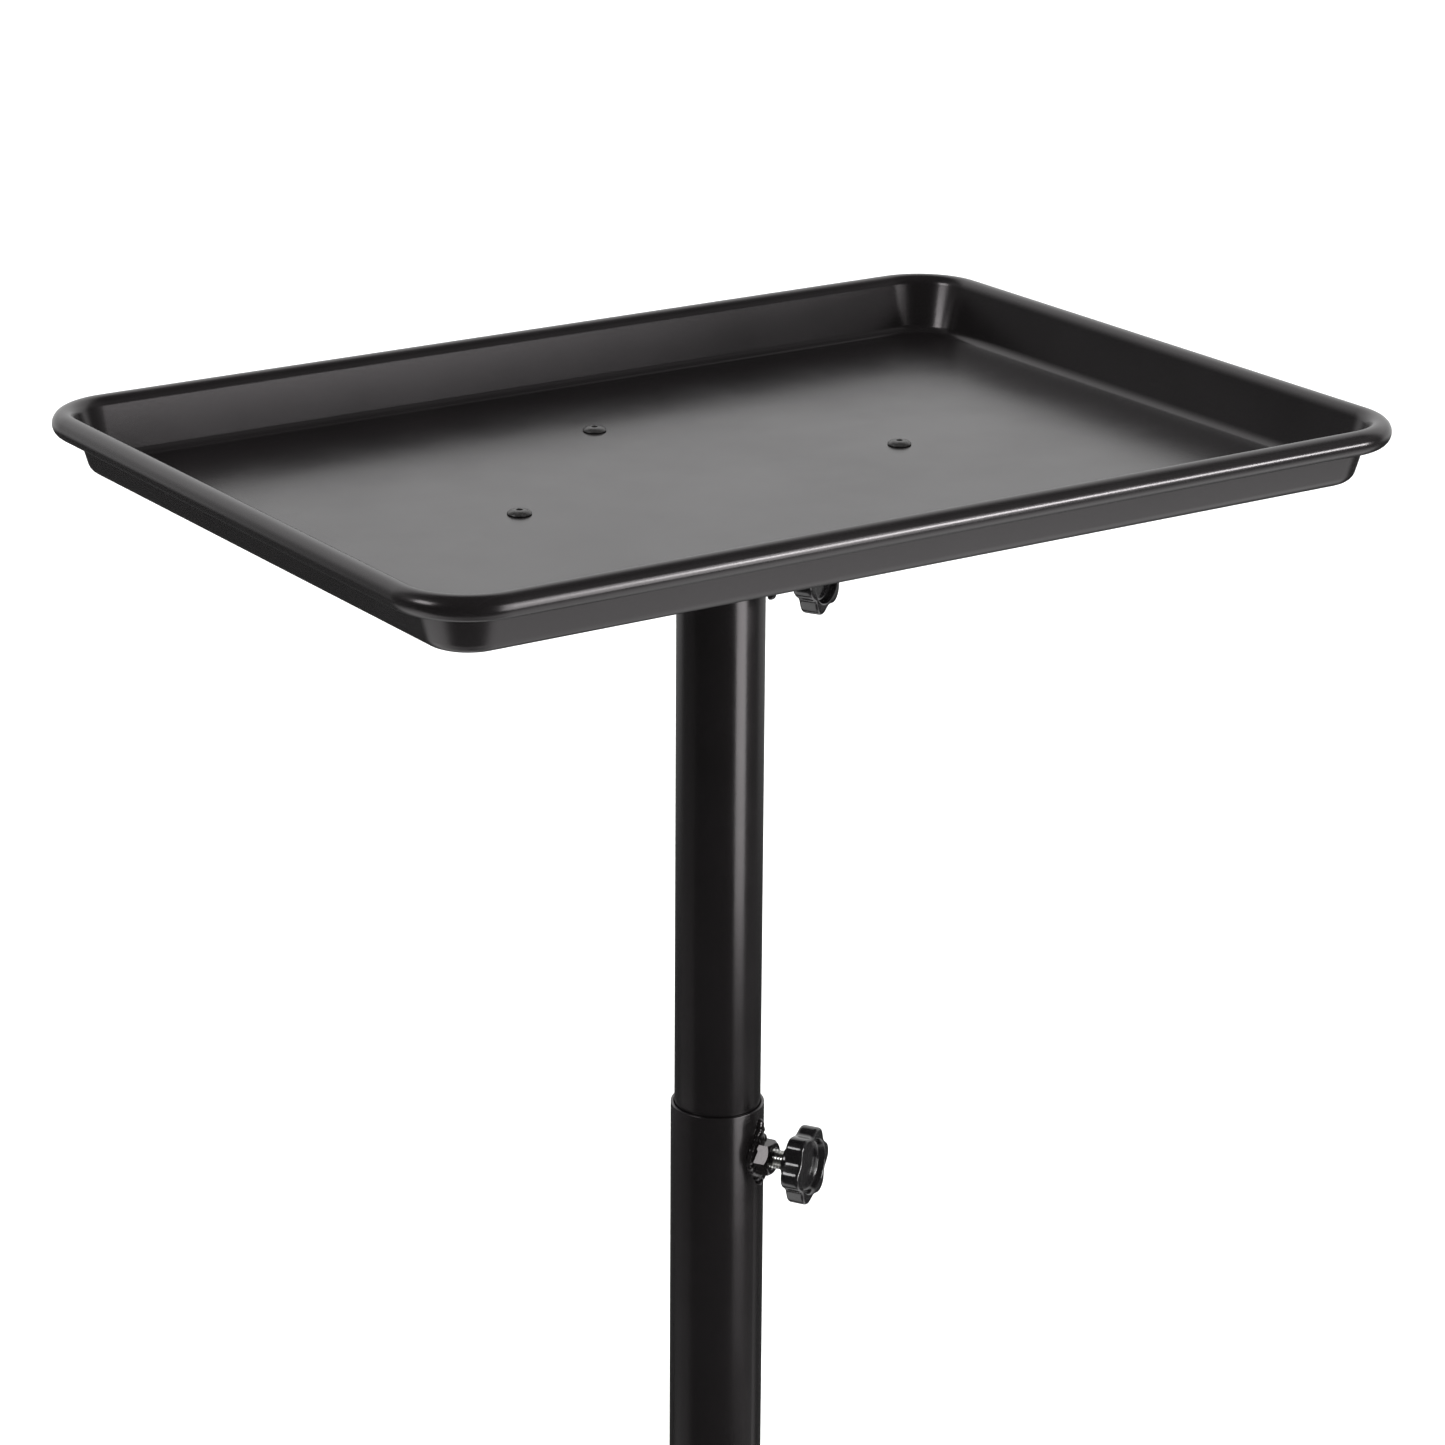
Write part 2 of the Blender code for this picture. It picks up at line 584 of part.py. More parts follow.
def caster_housing(name, swivel):
    """A hood over both wheels, a web between them and a boss for the stem, in one moulding."""
    start_deg, end_deg, steps = -6, 186, 14
    outer = HOOD_RADIUS + HOOD_THICK
    bm = bmesh.new()
    outline = arc((TRAIL, WHEEL_Z), outer, start_deg, end_deg, steps)
    outline += arc((TRAIL, WHEEL_Z), HOOD_RADIUS, end_deg, start_deg, steps)
    edges = loop(bm, [(x, -HOOD_WIDTH / 2, z) for x, z in outline])
    bmesh.ops.contextual_create(bm, geom=edges)
    swept = bmesh.ops.extrude_face_region(bm, geom=bm.faces[:])["geom"]
    verts = [item for item in swept if isinstance(item, bmesh.types.BMVert)]
    bmesh.ops.translate(bm, verts=verts, vec=(0, HOOD_WIDTH, 0))
    bmesh.ops.recalc_face_normals(bm, faces=bm.faces)
    housing = part(name + "_housing", bm, "black_plastic", swivel)

    frame = swivel.matrix_basis
    across = Matrix.Translation((TRAIL, 0, WHEEL_Z)) @ Matrix.Rotation(pi / 2, 4, "X")
    web_radius = HOOD_RADIUS + HOOD_THICK / 2
    web = cylinder(name + "_web", web_radius, WEB_THICK, None, frame @ across, 28)
    cut(housing, web, "UNION")
    boss_bottom = WHEEL_Z + 0.008
    boss_height = BOSS_TOP - boss_bottom
    boss_seat = Matrix.Translation((0, 0, boss_bottom + boss_height / 2))
    boss = cylinder(name + "_boss", BOSS_RADIUS, boss_height, None, frame @ boss_seat, 24)
    cut(housing, boss, "UNION")
    # Room for the two wheels, the axle and the stem's pin.
    wheel_space = WHEEL_RADIUS + 0.0012
    for side in (1, -1):
        middle = side * (WEB_THICK / 2 + 0.02)
        seat = Matrix.Translation((TRAIL, middle, WHEEL_Z)) @ Matrix.Rotation(pi / 2, 4, "X")
        room = cylinder("%s_room_%+d" % (name, side), wheel_space, 0.04, None, frame @ seat, 28)
        cut(housing, room)
    bore = cylinder(name + "_axle_bore", AXLE_RADIUS + GAP, 0.06, None, frame @ across, 12)
    cut(housing, bore)
    pin_room = BEAM_BOTTOM - PIN_BOTTOM
    pin_seat = Matrix.Translation((0, 0, PIN_BOTTOM - 0.001 + pin_room / 2))
    pin_bore = cylinder(name + "_pin_bore", PIN_RADIUS + GAP, pin_room, None, frame @ pin_seat, 18)
    cut(housing, pin_bore)
    web_bottom = WHEEL_Z - 0.016
    under = 4 * WEB_THICK
    floor_clear = box(
        name + "_under", (4 * WHEEL_RADIUS, under, under), (TRAIL, 0, web_bottom - under / 2),
        None, frame,
    )
    cut(housing, floor_clear)


def caster_wheel(name, swivel, seat):
    """Local Z is the wheel's outer side. The bore is blind, so the outside is capped."""
    inner, outer = WHEEL_INSET, WHEEL_INSET + WHEEL_WIDTH
    shoulder, bore = 0.0025, AXLE_RADIUS + GAP
    profile = [
        (0, outer - HUB_CAP_SINK / 2),
        (HUB_CAP_RADIUS, outer - HUB_CAP_SINK),
        (HUB_CAP_RADIUS + shoulder, outer),
        (WHEEL_RADIUS - shoulder, outer),
        (WHEEL_RADIUS, outer - shoulder),
        (WHEEL_RADIUS, inner + shoulder),
        (WHEEL_RADIUS - shoulder, inner),
        (bore, inner),
        (bore, AXLE_LENGTH / 2 + GAP),
        (0, AXLE_LENGTH / 2 + GAP),
    ]
    turned(name, profile, "wheel_grey", WHEEL_STEPS, False, swivel, seat)


# ---- assembly -----------------------------------------------------------------------------
def make_cart():
    tray_turn = pivot("tray_turn", (0, 0, BEAD_Z))
    tray = make_tray(tray_turn)
    bracket = make_bracket(tray_turn)
    make_rivets(tray, bracket, tray_turn)
    socket_top = BEAD_Z - TRAY_DEPTH - 2 * GAP - PLATE_THICK
    socket = tube(
        "tray_socket", SOCKET_OUTER, SOCKET_INNER, SOCKET_BOTTOM, socket_top, "powder_coat",
        parent=tray_turn, matrix=Matrix.Translation((0, 0, -BEAD_Z)),
    )
    make_clamp(
        "tray", socket, "tray_socket", SOCKET_OUTER, UPPER_OUTER, TRAY_CLAMP_Z, tray_turn
    )
    make_upper_post()
    lower = make_lower_post()
    make_clamp("post", lower, "lower_tube", LOWER_OUTER, UPPER_OUTER, POST_CLAMP_Z, None)
    make_base()


make_cart()
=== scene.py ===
"""Instrument cart: the finished pieces, materials, floor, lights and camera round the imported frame.

Lengths are in metres. Every size that the frame knows is read from it; the sizes below only
shape what the frame leaves plain, such as roundings, threads and welds.
"""

from math import atan2, cos, degrees, hypot, pi, radians, sin, sqrt, tan
from random import Random

import bmesh
import bpy
from bpy.props import FloatProperty, FloatVectorProperty, PointerProperty
from mathutils import Matrix, Vector


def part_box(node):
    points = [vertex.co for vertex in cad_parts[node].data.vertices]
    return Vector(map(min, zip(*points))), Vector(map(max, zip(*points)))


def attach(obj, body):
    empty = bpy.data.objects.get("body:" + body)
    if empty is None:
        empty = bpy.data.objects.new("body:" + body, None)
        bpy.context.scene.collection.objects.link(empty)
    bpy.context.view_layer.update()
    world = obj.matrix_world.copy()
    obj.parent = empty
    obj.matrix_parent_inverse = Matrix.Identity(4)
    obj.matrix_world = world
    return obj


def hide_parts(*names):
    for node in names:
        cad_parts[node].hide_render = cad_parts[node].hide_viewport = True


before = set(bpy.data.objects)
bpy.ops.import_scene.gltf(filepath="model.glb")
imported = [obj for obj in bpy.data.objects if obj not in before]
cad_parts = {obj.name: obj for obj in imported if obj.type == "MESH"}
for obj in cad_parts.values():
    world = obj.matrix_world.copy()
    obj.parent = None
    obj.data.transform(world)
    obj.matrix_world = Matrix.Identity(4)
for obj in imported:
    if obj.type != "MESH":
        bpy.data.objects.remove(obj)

bl_info = {
    "name": "Instrument cart",
    "version": (1, 0, 0),
    "blender": (4, 5, 0),
    "location": "View3D > Sidebar > Cart",
    "description": "Builds the finished pieces of a clamped-post instrument cart on its frame",
    "category": "Object",
}

SURROUND = {  # for each side of the studio, elevations in degrees and their brightness
    "front": ((-90, 0.3), (-50, 0.08), (0, 0.03), (30, 0.05), (90, 0.05)),
    "side": (
        (-90, 0.4), (-58, 1.2), (-48, 1.40), (-34, 0.8), (-24, 0.16), (6, 0.08), (14, 0.2),
        (34, 0.35), (58, 0.08), (90, 0.05),
    ),
    "back": (
        (-90, 0.3), (-66, 0.9), (-54, 0.5), (-38, 0.05), (-20, 0.08), (-9, 0.85), (14, 0.95),
        (21, 1.18), (44, 1.15), (58, 0.12), (90, 0.05),
    ),
}
FRONT_BLEND = (0.28, 0.42)  # where the front takes over from the sides, as a cosine
BACK_BLEND = (-0.30, -0.50)
CORNERS = ("rear_right", "rear_left", "front_left", "front_right")
RIVETS = ("left", "right", "rear", "front")
TUBES = (("upper_tube", "upper_post", 0.0015), ("lower_tube", "root", 0.0012))  # and their walls
MERGE = 0.000001  # vertices closer than this are one
GAP = 0.0003  # between finished pieces that stand against each other
SHARP = radians(35)
WELD_SHARP = radians(60)
BRACKET_SHARP = radians(50)
COAT_TINT = (1.0, 0.945, 0.965)  # the coat's faintly warm gloss
DUST = ((0.20, 0.19, 0.18), (0.26, 0.25, 0.24))
RIVET_TONE = (0.020, 0.019, 0.019)
RIVET_HOLE = 0.0027
RIVET_SHANK = 0.0024
RIVET_BORE = 0.00125
RIVET_CROWN = 0.0016
STUD_HOLE = 0.0043
THREAD_CREST = 0.0040
THREAD_DEPTH = 0.00080
NUT_THICK = 0.006
NUT_REACH = 0.56  # the nut's weld, as a share of its flats
KNOB_BORE = 0.0044
KNOB_COVER = 0.005  # plastic over the stud's end
BOLT_FLATS = 0.017
BOLT_RADIUS = 0.005
WASHER_HOLE = 0.0053
PLUG_FLANGE = 0.003
PLUG_DEPTH = 0.014
WEB_HUB = 0.0120
HOOD_INNER = 0.0270
WHEEL_ROOM = 0.0262
WHEEL_BORE = 0.0033
COLLAR_FLATS = 0.0150
COLLAR_THICK = 0.0048
FINISHES = {}  # materials already made, by their recipe's name


# ---- settings -----------------------------------------------------------------------------
def length(name, description, default):
    return FloatProperty(
        name=name, description=description, default=default, min=0.0, unit="LENGTH", precision=5
    )


def angle(name, description, degrees_):
    return FloatProperty(
        name=name, description=description, default=radians(degrees_), subtype="ANGLE"
    )


def share(name, description, default):
    return FloatProperty(
        name=name, description=description, default=default, min=0.0, max=1.0, subtype="FACTOR"
    )


def colour(name, description, default):
    return FloatVectorProperty(
        name=name, description=description, default=default, size=3, subtype="COLOR",
        min=0.0, max=1.0,
    )


def power(name, description, default):
    return FloatProperty(
        name=name, description=description, default=default, min=0.0, unit="POWER"
    )


def strength(name, description, default):
    return FloatProperty(name=name, description=description, default=default, min=0.0)


class TraySizes(bpy.types.PropertyGroup):
    bead_radius: length("Bead radius", "Radius of the rolled rim", 0.0048)
    corner_radius: length("Corner radius", "Plan radius of the rim's centre line", 0.026)
    draft: angle("Wall draft", "Lean of the walls from upright", 15.6)
    curl: angle("Curl", "How far the rim's sheet is rolled round", 304.4)
    floor_fillet: length("Floor fillet", "Inside radius between floor and wall", 0.0045)
    sheet: length("Sheet", "Thickness of the pressed sheet", 0.001)
    rivet_radius: length("Rivet head", "Radius of a rivet's head", 0.00475)
    bracket_arm: length("Bracket arm", "Width of the arms of the cross under the tray", 0.026)


class PostSizes(bpy.types.PropertyGroup):
    rim_round: length("Rim rounding", "Rounding of the tubes' outer ends", 0.0003)
    dimple_radius: length("Dimple", "Radius of the small pit in the lower tube", 0.0013)
    dimple_height: length("Dimple height", "Height of the pit above the floor", 0.606)
    dimple_azimuth: angle("Dimple azimuth", "Where the pit is round the tube", 173)


class ClampSizes(bpy.types.PropertyGroup):
    tip_radius: length("Lobe radius", "Radius over the star knob's lobes", 0.0160)
    valley_radius: length("Valley radius", "Radius between the lobes", 0.0130)
    dish_radius: length("Dish radius", "Radius of the round recess in the knob's face", 0.0117)
    dish_depth: length("Dish depth", "Depth of the recess", 0.0028)
    hub_radius: length("Hub radius", "Radius of the hub behind the lobes", 0.0068)
    hub_start: length("Hub start", "From the tube's face to the hub", 0.0120)
    lobe_start: length("Lobe start", "From the tube's face to the back of the lobes", 0.0160)
    lobe_end: length("Lobe end", "From the tube's face to the front of the lobes", 0.0240)
    post_turn: angle("Post knob turn", "Turn of the post's knob on its stud", 5)
    tray_turn: angle("Tray knob turn", "Turn of the tray's knob on its stud", 10)
    pitch: length("Thread pitch", "Pitch of the stud's thread", 0.00125)
    nut_flats: length("Nut flats", "Width of the welded nut across its flats", 0.013)


class BaseSizes(bpy.types.PropertyGroup):
    beam_width: length("Beam width", "Across each leg of the base", 0.050)
    edge_radius: length("Edge radius", "Outside radius of the beams' long edges", 0.0030)
    wall: length("Wall", "Thickness of the beams' wall", 0.0015)
    weld: length("Weld", "Half width of the weld where an arm meets the beam", 0.0022)


class CasterSizes(bpy.types.PropertyGroup):
    hood: length("Hood", "Thickness of the hood over the wheels", 0.0022)
    hood_width: length("Hood width", "Width of the hood", 0.0440)
    web: length("Web", "Thickness of the web between the wheels", 0.0070)
    tread: length("Tread", "Depth of the soft tread", 0.0036)


class Finishes(bpy.types.PropertyGroup):
    coat: colour("Powder coat", "Black powder coat", (0.0052, 0.0046, 0.0048))
    coat_sheen: share("Tray roughness", "Roughness of the coat on the tray", 0.22)
    tube_sheen: share("Tube roughness", "Roughness of the coat on the tubes", 0.20)
    knob: colour("Knob", "Glossy black plastic of the knobs", (0.0050, 0.0047, 0.0051))
    moulding: colour("Moulding", "Black moulded plastic", (0.0180, 0.0180, 0.0190))
    tread: colour("Tread", "Grey wheel tread", (0.115, 0.115, 0.120))
    zinc: colour("Zinc", "Zinc-plated steel", (0.62, 0.62, 0.60))
    floor: colour("Floor", "Pale studio floor", (0.90, 0.90, 0.90))


class StageSizes(bpy.types.PropertyGroup):
    lens: FloatProperty(
        name="Lens", description="Focal length", default=108.685, min=10.0, unit="CAMERA"
    )
    eye: FloatVectorProperty(
        name="Camera place", description="Where the camera stands",
        default=(-0.9067, -1.3440, 1.4250), size=3, subtype="TRANSLATION", unit="LENGTH",
    )
    heading: angle("Heading", "The camera's turn from looking along +Y", -34.038)
    tilt: angle("Tilt", "How far the camera looks down", 19.049)
    roll: angle("Roll", "The camera's roll", 0.423)
    surround: strength("Surround", "Strength of the studio's surround", 1.0)
    key: power("Key", "Power of the tall soft box", 30.0)
    key_azimuth: angle("Key azimuth", "Direction of the soft box from the post", -69)
    key_distance: length("Key distance", "From the post to the soft box", 2.3)
    key_width: length("Key width", "Width of the soft box", 1.12)
    key_height: length("Key height", "Height of the soft box, which stands on the floor", 1.70)
    side: power("Side light", "Power of the high soft box on the left", 20.0)
    side_azimuth: angle("Side azimuth", "Direction of the left soft box from the post", 178)
    side_width: length("Side width", "Width and height of the left soft box", 0.9)
    side_lift: length("Side height", "Height of the left soft box's centre", 2.3)
    strip: power("Strip", "Power of the low strip that lights the rim", 20.0)
    strip_azimuth: angle("Strip azimuth", "Direction of the strip from the post", -54)
    strip_width: length("Strip width", "Width of the strip", 0.85)
    strip_height: length("Strip height", "Height of the strip, level with the tray", 0.30)
    overhead: strength("Overhead", "Strength of the wide overhead light", 4.4)
    floor_reach: length("Floor reach", "Half the floor's side", 30.0)


class CartSettings(bpy.types.PropertyGroup):
    tray: PointerProperty(type=TraySizes)
    post: PointerProperty(type=PostSizes)
    clamp: PointerProperty(type=ClampSizes)
    base: PointerProperty(type=BaseSizes)
    caster: PointerProperty(type=CasterSizes)
    finish: PointerProperty(type=Finishes)
    stage: PointerProperty(type=StageSizes)


def settings():
    return bpy.context.scene.instrument_cart


# ---- materials ----------------------------------------------------------------------------
class Wiring:
    """The nodes that materials and the studio's surround share."""

    def __init__(self, tree, coordinates):
        self.nodes, self.links = tree.nodes, tree.links
        self.coordinates = self.nodes.new("ShaderNodeTexCoord").outputs[coordinates]

    def spread(self, value, low, high, start=0.35, end=0.65):
        """Spreads a value between two numbers."""
        spread = self.nodes.new("ShaderNodeMapRange")
        spread.inputs["From Min"].default_value = start
        spread.inputs["From Max"].default_value = end
        spread.inputs["To Min"].default_value = low
        spread.inputs["To Max"].default_value = high
        self.links.new(value, spread.inputs["Value"])
        return spread.outputs["Result"]

    def mix(self, part, first, second):
        blend = self.nodes.new("ShaderNodeMix")
        blend.data_type = "RGBA"
        self.links.new(part, blend.inputs["Factor"])
        self.links.new(first, blend.inputs["A"])
        self.links.new(second, blend.inputs["B"])
        return blend.outputs["Result"]


class Recipe(Wiring):
    """A material's nodes, read from the piece's own coordinates."""

    def __init__(self, name, tone=None):
        self.material = bpy.data.materials.new(name)
        self.material.use_nodes = True
        super().__init__(self.material.node_tree, "Object")
        self.shader = self.nodes["Principled BSDF"]
        self.tone = tuple(getattr(settings().finish, tone)) if tone else None

    def place(self, scale=(1, 1, 1), turn=(0, 0, 0)):
        mapping = self.nodes.new("ShaderNodeMapping")
        mapping.inputs["Scale"].default_value = scale
        mapping.inputs["Rotation"].default_value = turn
        self.links.new(self.coordinates, mapping.inputs["Vector"])
        return mapping.outputs["Vector"]

    def noise(self, scale, detail=3.0, rough=0.55, vector=None, warp=0.0):
        noise = self.nodes.new("ShaderNodeTexNoise")
        noise.inputs["Scale"].default_value = scale
        noise.inputs["Detail"].default_value = detail
        noise.inputs["Roughness"].default_value = rough
        noise.inputs["Distortion"].default_value = warp
        self.links.new(vector or self.coordinates, noise.inputs["Vector"])
        return noise.outputs["Fac"]

    def tint(self, value, dark, light, start=0.35, end=0.65):
        ramp = self.nodes.new("ShaderNodeValToRGB")
        ramp.color_ramp.elements[0].position = start
        ramp.color_ramp.elements[1].position = end
        ramp.color_ramp.elements[0].color = (*dark, 1)
        ramp.color_ramp.elements[1].color = (*light, 1)
        self.links.new(value, ramp.inputs["Fac"])
        return ramp.outputs["Color"]

    def mottled(self, value, dark, light, start=0.35, end=0.65):
        """The recipe's own colour, between a darker and a lighter share of it."""
        return self.tint(value, shade(self.tone, dark), shade(self.tone, light), start, end)

    def sum(self, first, second, weight):
        total = self.nodes.new("ShaderNodeMath")
        total.operation = "MULTIPLY_ADD"
        total.inputs[1].default_value = weight
        self.links.new(second, total.inputs[0])
        self.links.new(first, total.inputs[2])
        return total.outputs["Value"]

    def skin(self):
        """An orange-peel skin, coarse waves with finer ones on them."""
        return self.sum(self.noise(620, 2, 0.45), self.noise(2400, 2, 0.6), 0.25)

    def relief(self, height, depth, below=None):
        bump = self.nodes.new("ShaderNodeBump")
        bump.inputs["Strength"].default_value = 1.0
        bump.inputs["Distance"].default_value = depth
        self.links.new(height, bump.inputs["Height"])
        if below:
            self.links.new(below, bump.inputs["Normal"])
        return bump.outputs["Normal"]

    def set(self, **sockets):
        """Sets or links the shader's sockets, named with underscores for spaces."""
        for name, value in sockets.items():
            socket = self.shader.inputs[name.replace("_", " ")]
            if isinstance(value, bpy.types.NodeSocket):
                self.links.new(value, socket)
            elif hasattr(value, "__len__") and len(value) == 3:
                socket.default_value = (*value, 1)
            else:
                socket.default_value = value
        return self.material


def shade(tone, factor):
    return tuple(min(1.0, channel * factor) for channel in tone)


def powder_coat(name, roughness, peel=0.000014):
    """Black powder coat: slight clouding, an orange-peel skin and a few fine specks."""
    recipe = Recipe(name, "coat")
    cloud = recipe.mottled(recipe.noise(9, 5, 0.6), 0.80, 1.25)
    speck = recipe.spread(recipe.noise(1500, 1, 0.5), 0, 0.35, 0.70, 0.78)
    pale = recipe.mottled(recipe.noise(30, 2), 3.2, 4.0)
    sheen = recipe.sum(
        recipe.spread(recipe.noise(26, 4, 0.6), roughness * 0.88, roughness * 1.14),
        recipe.noise(700, 2),
        roughness * 0.08,
    )
    return recipe.set(
        Base_Color=recipe.mix(speck, cloud, pale),
        Roughness=sheen,
        Normal=recipe.relief(recipe.skin(), peel),
        IOR=1.52,
        Specular_Tint=COAT_TINT,
    )


def tray_coat():
    """The tray's coat: the same skin with faint rubbed lines from use."""
    roughness = settings().finish.coat_sheen
    recipe = Recipe("tray_coat", "coat")
    cloud = recipe.mottled(recipe.noise(7, 5, 0.6), 0.80, 1.25)
    along = recipe.noise(1, 2, 0.5, recipe.place((14, 900, 60), (0, 0, 0.5)), 0.4)
    across = recipe.noise(1, 2, 0.5, recipe.place((1100, 16, 60), (0, 0, -0.25)), 0.4)
    rubbed = recipe.sum(
        recipe.spread(along, 0, 0.6, 0.72, 0.80), recipe.spread(across, 0, 0.5, 0.73, 0.80), 1.0
    )
    pale = recipe.mottled(recipe.noise(40, 2), 1.7, 2.2)
    sheen = recipe.sum(
        recipe.spread(recipe.noise(18, 5, 0.65), roughness * 0.90, roughness * 1.12), rubbed, 0.02
    )
    waves = recipe.relief(recipe.noise(7, 1, 0.4), 0.00004)
    return recipe.set(
        Base_Color=recipe.mix(rubbed, cloud, pale),
        Roughness=sheen,
        Normal=recipe.relief(recipe.skin(), 0.000010, waves),
        IOR=1.52,
        Specular_Tint=COAT_TINT,
    )


def knob_plastic():
    """Hard glossy black plastic with faint flow marks and fine rubbed haze."""
    recipe = Recipe("knob_gloss", "knob")
    return recipe.set(
        Base_Color=recipe.mottled(recipe.noise(160, 4, 0.6, warp=1.2), 0.8, 1.35),
        Roughness=recipe.spread(recipe.noise(420, 4, 0.7), 0.10, 0.19),
        Normal=recipe.relief(recipe.noise(260, 2, 0.5), 0.00001),
        IOR=1.56,
        Coat_Weight=0.35,
        Coat_Roughness=0.08,
    )


def rivet_paint():
    """Black-anodised rivets: satin, worn paler in small spots."""
    recipe = Recipe("rivet_satin")
    recipe.tone = RIVET_TONE
    return recipe.set(
        Base_Color=recipe.mottled(recipe.noise(900, 4, 0.7), 1, 2.6, 0.45, 0.75),
        Roughness=recipe.spread(recipe.noise(1300, 3, 0.6), 0.24, 0.38),
        Normal=recipe.relief(recipe.noise(1800, 2, 0.5), 0.000012),
        Metallic=0.25,
    )


def zinc_steel():
    """Bright zinc plating with a mottled sheen, a fine grain and dull grey patches."""
    recipe = Recipe("zinc_bright", "zinc")
    return recipe.set(
        Base_Color=recipe.mottled(recipe.noise(320, 5, 0.65, warp=0.6), 0.62, 1.18),
        Roughness=recipe.spread(recipe.noise(700, 4, 0.7), 0.12, 0.26),
        Normal=recipe.relief(recipe.noise(2600, 3, 0.7), 0.000008),
        Metallic=1.0,
    )


def moulded_black():
    """Black moulded plastic with a fine spark-eroded grain."""
    recipe = Recipe("moulded_black", "moulding")
    return recipe.set(
        Base_Color=recipe.mottled(recipe.noise(60, 5, 0.6), 0.75, 1.4),
        Roughness=recipe.spread(recipe.noise(380, 4, 0.6), 0.40, 0.56),
        Normal=recipe.relief(recipe.noise(2100, 3, 0.65), 0.00003),
    )


def wheel_tread():
    """Grey soft tread, dusty and slightly scuffed."""
    recipe = Recipe("tread_grey", "tread")
    scuff = recipe.mottled(recipe.noise(240, 6, 0.7), 0.72, 1.22)
    dust = recipe.tint(recipe.noise(90, 3), *DUST)
    dusty = recipe.spread(recipe.noise(520, 5, 0.7), 0, 0.5, 0.52, 0.78)
    return recipe.set(
        Base_Color=recipe.mix(dusty, scuff, dust),
        Roughness=recipe.spread(recipe.noise(300, 4, 0.6), 0.55, 0.74),
        Normal=recipe.relief(recipe.noise(1500, 4, 0.7), 0.00004),
    )


def studio_floor():
    recipe = Recipe("studio_floor", "floor")
    return recipe.set(
        Base_Color=recipe.mottled(recipe.noise(3, 3), 0.992, 1),
        Roughness=recipe.spread(recipe.noise(14, 3), 0.62, 0.72),
        Normal=recipe.relief(recipe.noise(260, 3), 0.00002),
        Specular_IOR_Level=0.2,
    )


def finish(make):
    """The material that a recipe makes, made once."""
    made = FINISHES.get(make.__name__)
    if made is None:
        made = FINISHES[make.__name__] = make()
    return made


def tube_coat():
    return powder_coat("tube_coat", settings().finish.tube_sheen)


def base_coat():
    return powder_coat("base_coat", settings().finish.coat_sheen + 0.10, 0.00002)


def weld_coat():
    return powder_coat("weld_coat", 0.12, 0.00002)


# ---- shaping ------------------------------------------------------------------------------
def rounded(bm, geom, reach, segments, affect="VERTICES"):
    bmesh.ops.bevel(
        bm, geom=geom, offset=reach, affect=affect, segments=segments, profile=0.5, material=-1
    )


def drawn(corners, ring=False):
    """A wire in the XZ plane. A corner is (x, z) or (x, z, reach of its rounding)."""
    bm = bmesh.new()
    points = [bm.verts.new((corner[0], 0, corner[1])) for corner in corners]
    for pair in zip(points, points[1:]):
        bm.edges.new(pair)
    if ring:
        bm.edges.new((points[-1], points[0]))
    for point, corner in zip(points, corners):
        if len(corner) == 3:
            rounded(bm, [point], corner[2], 5)
    return bm


def closed(bm, dist=MERGE):
    bmesh.ops.remove_doubles(bm, verts=bm.verts, dist=dist)
    bmesh.ops.recalc_face_normals(bm, faces=bm.faces)
    return bm


def turned(corners, steps=64, ring=False, seat=None):
    """Turns a drawn wire once round Z."""
    bm = drawn(corners, ring)
    bmesh.ops.spin(
        bm, geom=bm.verts[:] + bm.edges[:], cent=(0, 0, 0), axis=(0, 0, 1), angle=2 * pi,
        steps=steps, use_merge=True,
    )
    closed(bm)
    if seat:
        bm.transform(seat)
    return bm


def rod(radius, low, high, steps=32, seat=None):
    return turned([(0, high), (radius, high), (radius, low), (0, low)], steps, False, seat)


def linked(name, bm):
    """An object in the scene that takes over a shape."""
    mesh = bpy.data.meshes.new(name)
    bm.to_mesh(mesh)
    bm.free()
    made = bpy.data.objects.new(name, mesh)
    bpy.context.scene.collection.objects.link(made)
    return made


def shaped(bm, *modifiers):
    """The mesh after some modifiers, each a type and its settings."""
    holder = linked("shaping", bm)
    for kind, values in modifiers:
        modifier = holder.modifiers.new(kind, kind)
        for key, value in values.items():
            setattr(modifier, key, value)
    result = bmesh.new()
    result.from_object(holder, bpy.context.evaluated_depsgraph_get())
    bpy.data.meshes.remove(holder.data)  # and the object with it
    return result


def combined(bm, tool, operation="DIFFERENCE"):
    """A Boolean of two shapes."""
    holder = linked("tool", tool)
    values = {"operation": operation, "solver": "EXACT", "object": holder}
    result = shaped(bm, ("BOOLEAN", values))
    bpy.data.meshes.remove(holder.data)  # and the object with it
    return closed(result)


def flat_face(width, height, radius, segments=6):
    """A rectangle in the XY plane with rounded corners."""
    bm = bmesh.new()
    bmesh.ops.create_grid(bm, x_segments=1, y_segments=1, size=0.5)
    bmesh.ops.scale(bm, vec=(width, height, 1), verts=bm.verts)
    rounded(bm, bm.verts[:], radius, segments)
    return bm


def thickened(bm, rise):
    """Draws every face up along Z into a closed slab."""
    made = bmesh.ops.extrude_face_region(bm, geom=bm.faces[:])["geom"]
    bmesh.ops.translate(bm, verts=only(bmesh.types.BMVert, made), vec=(0, 0, rise))
    bmesh.ops.recalc_face_normals(bm, faces=bm.faces)
    return bm


def only(kind, made):
    return [item for item in made if isinstance(item, kind)]


def drawn_out(bm, edges, way):
    """Draws edges out into faces. Returns the vertices and edges at the far end."""
    made = bmesh.ops.extrude_edge_only(bm, edges=edges)["geom"]
    verts = only(bmesh.types.BMVert, made)
    bmesh.ops.translate(bm, verts=verts, vec=way)
    far = set(verts)
    return verts + [edge for edge in only(bmesh.types.BMEdge, made) if set(edge.verts) <= far]


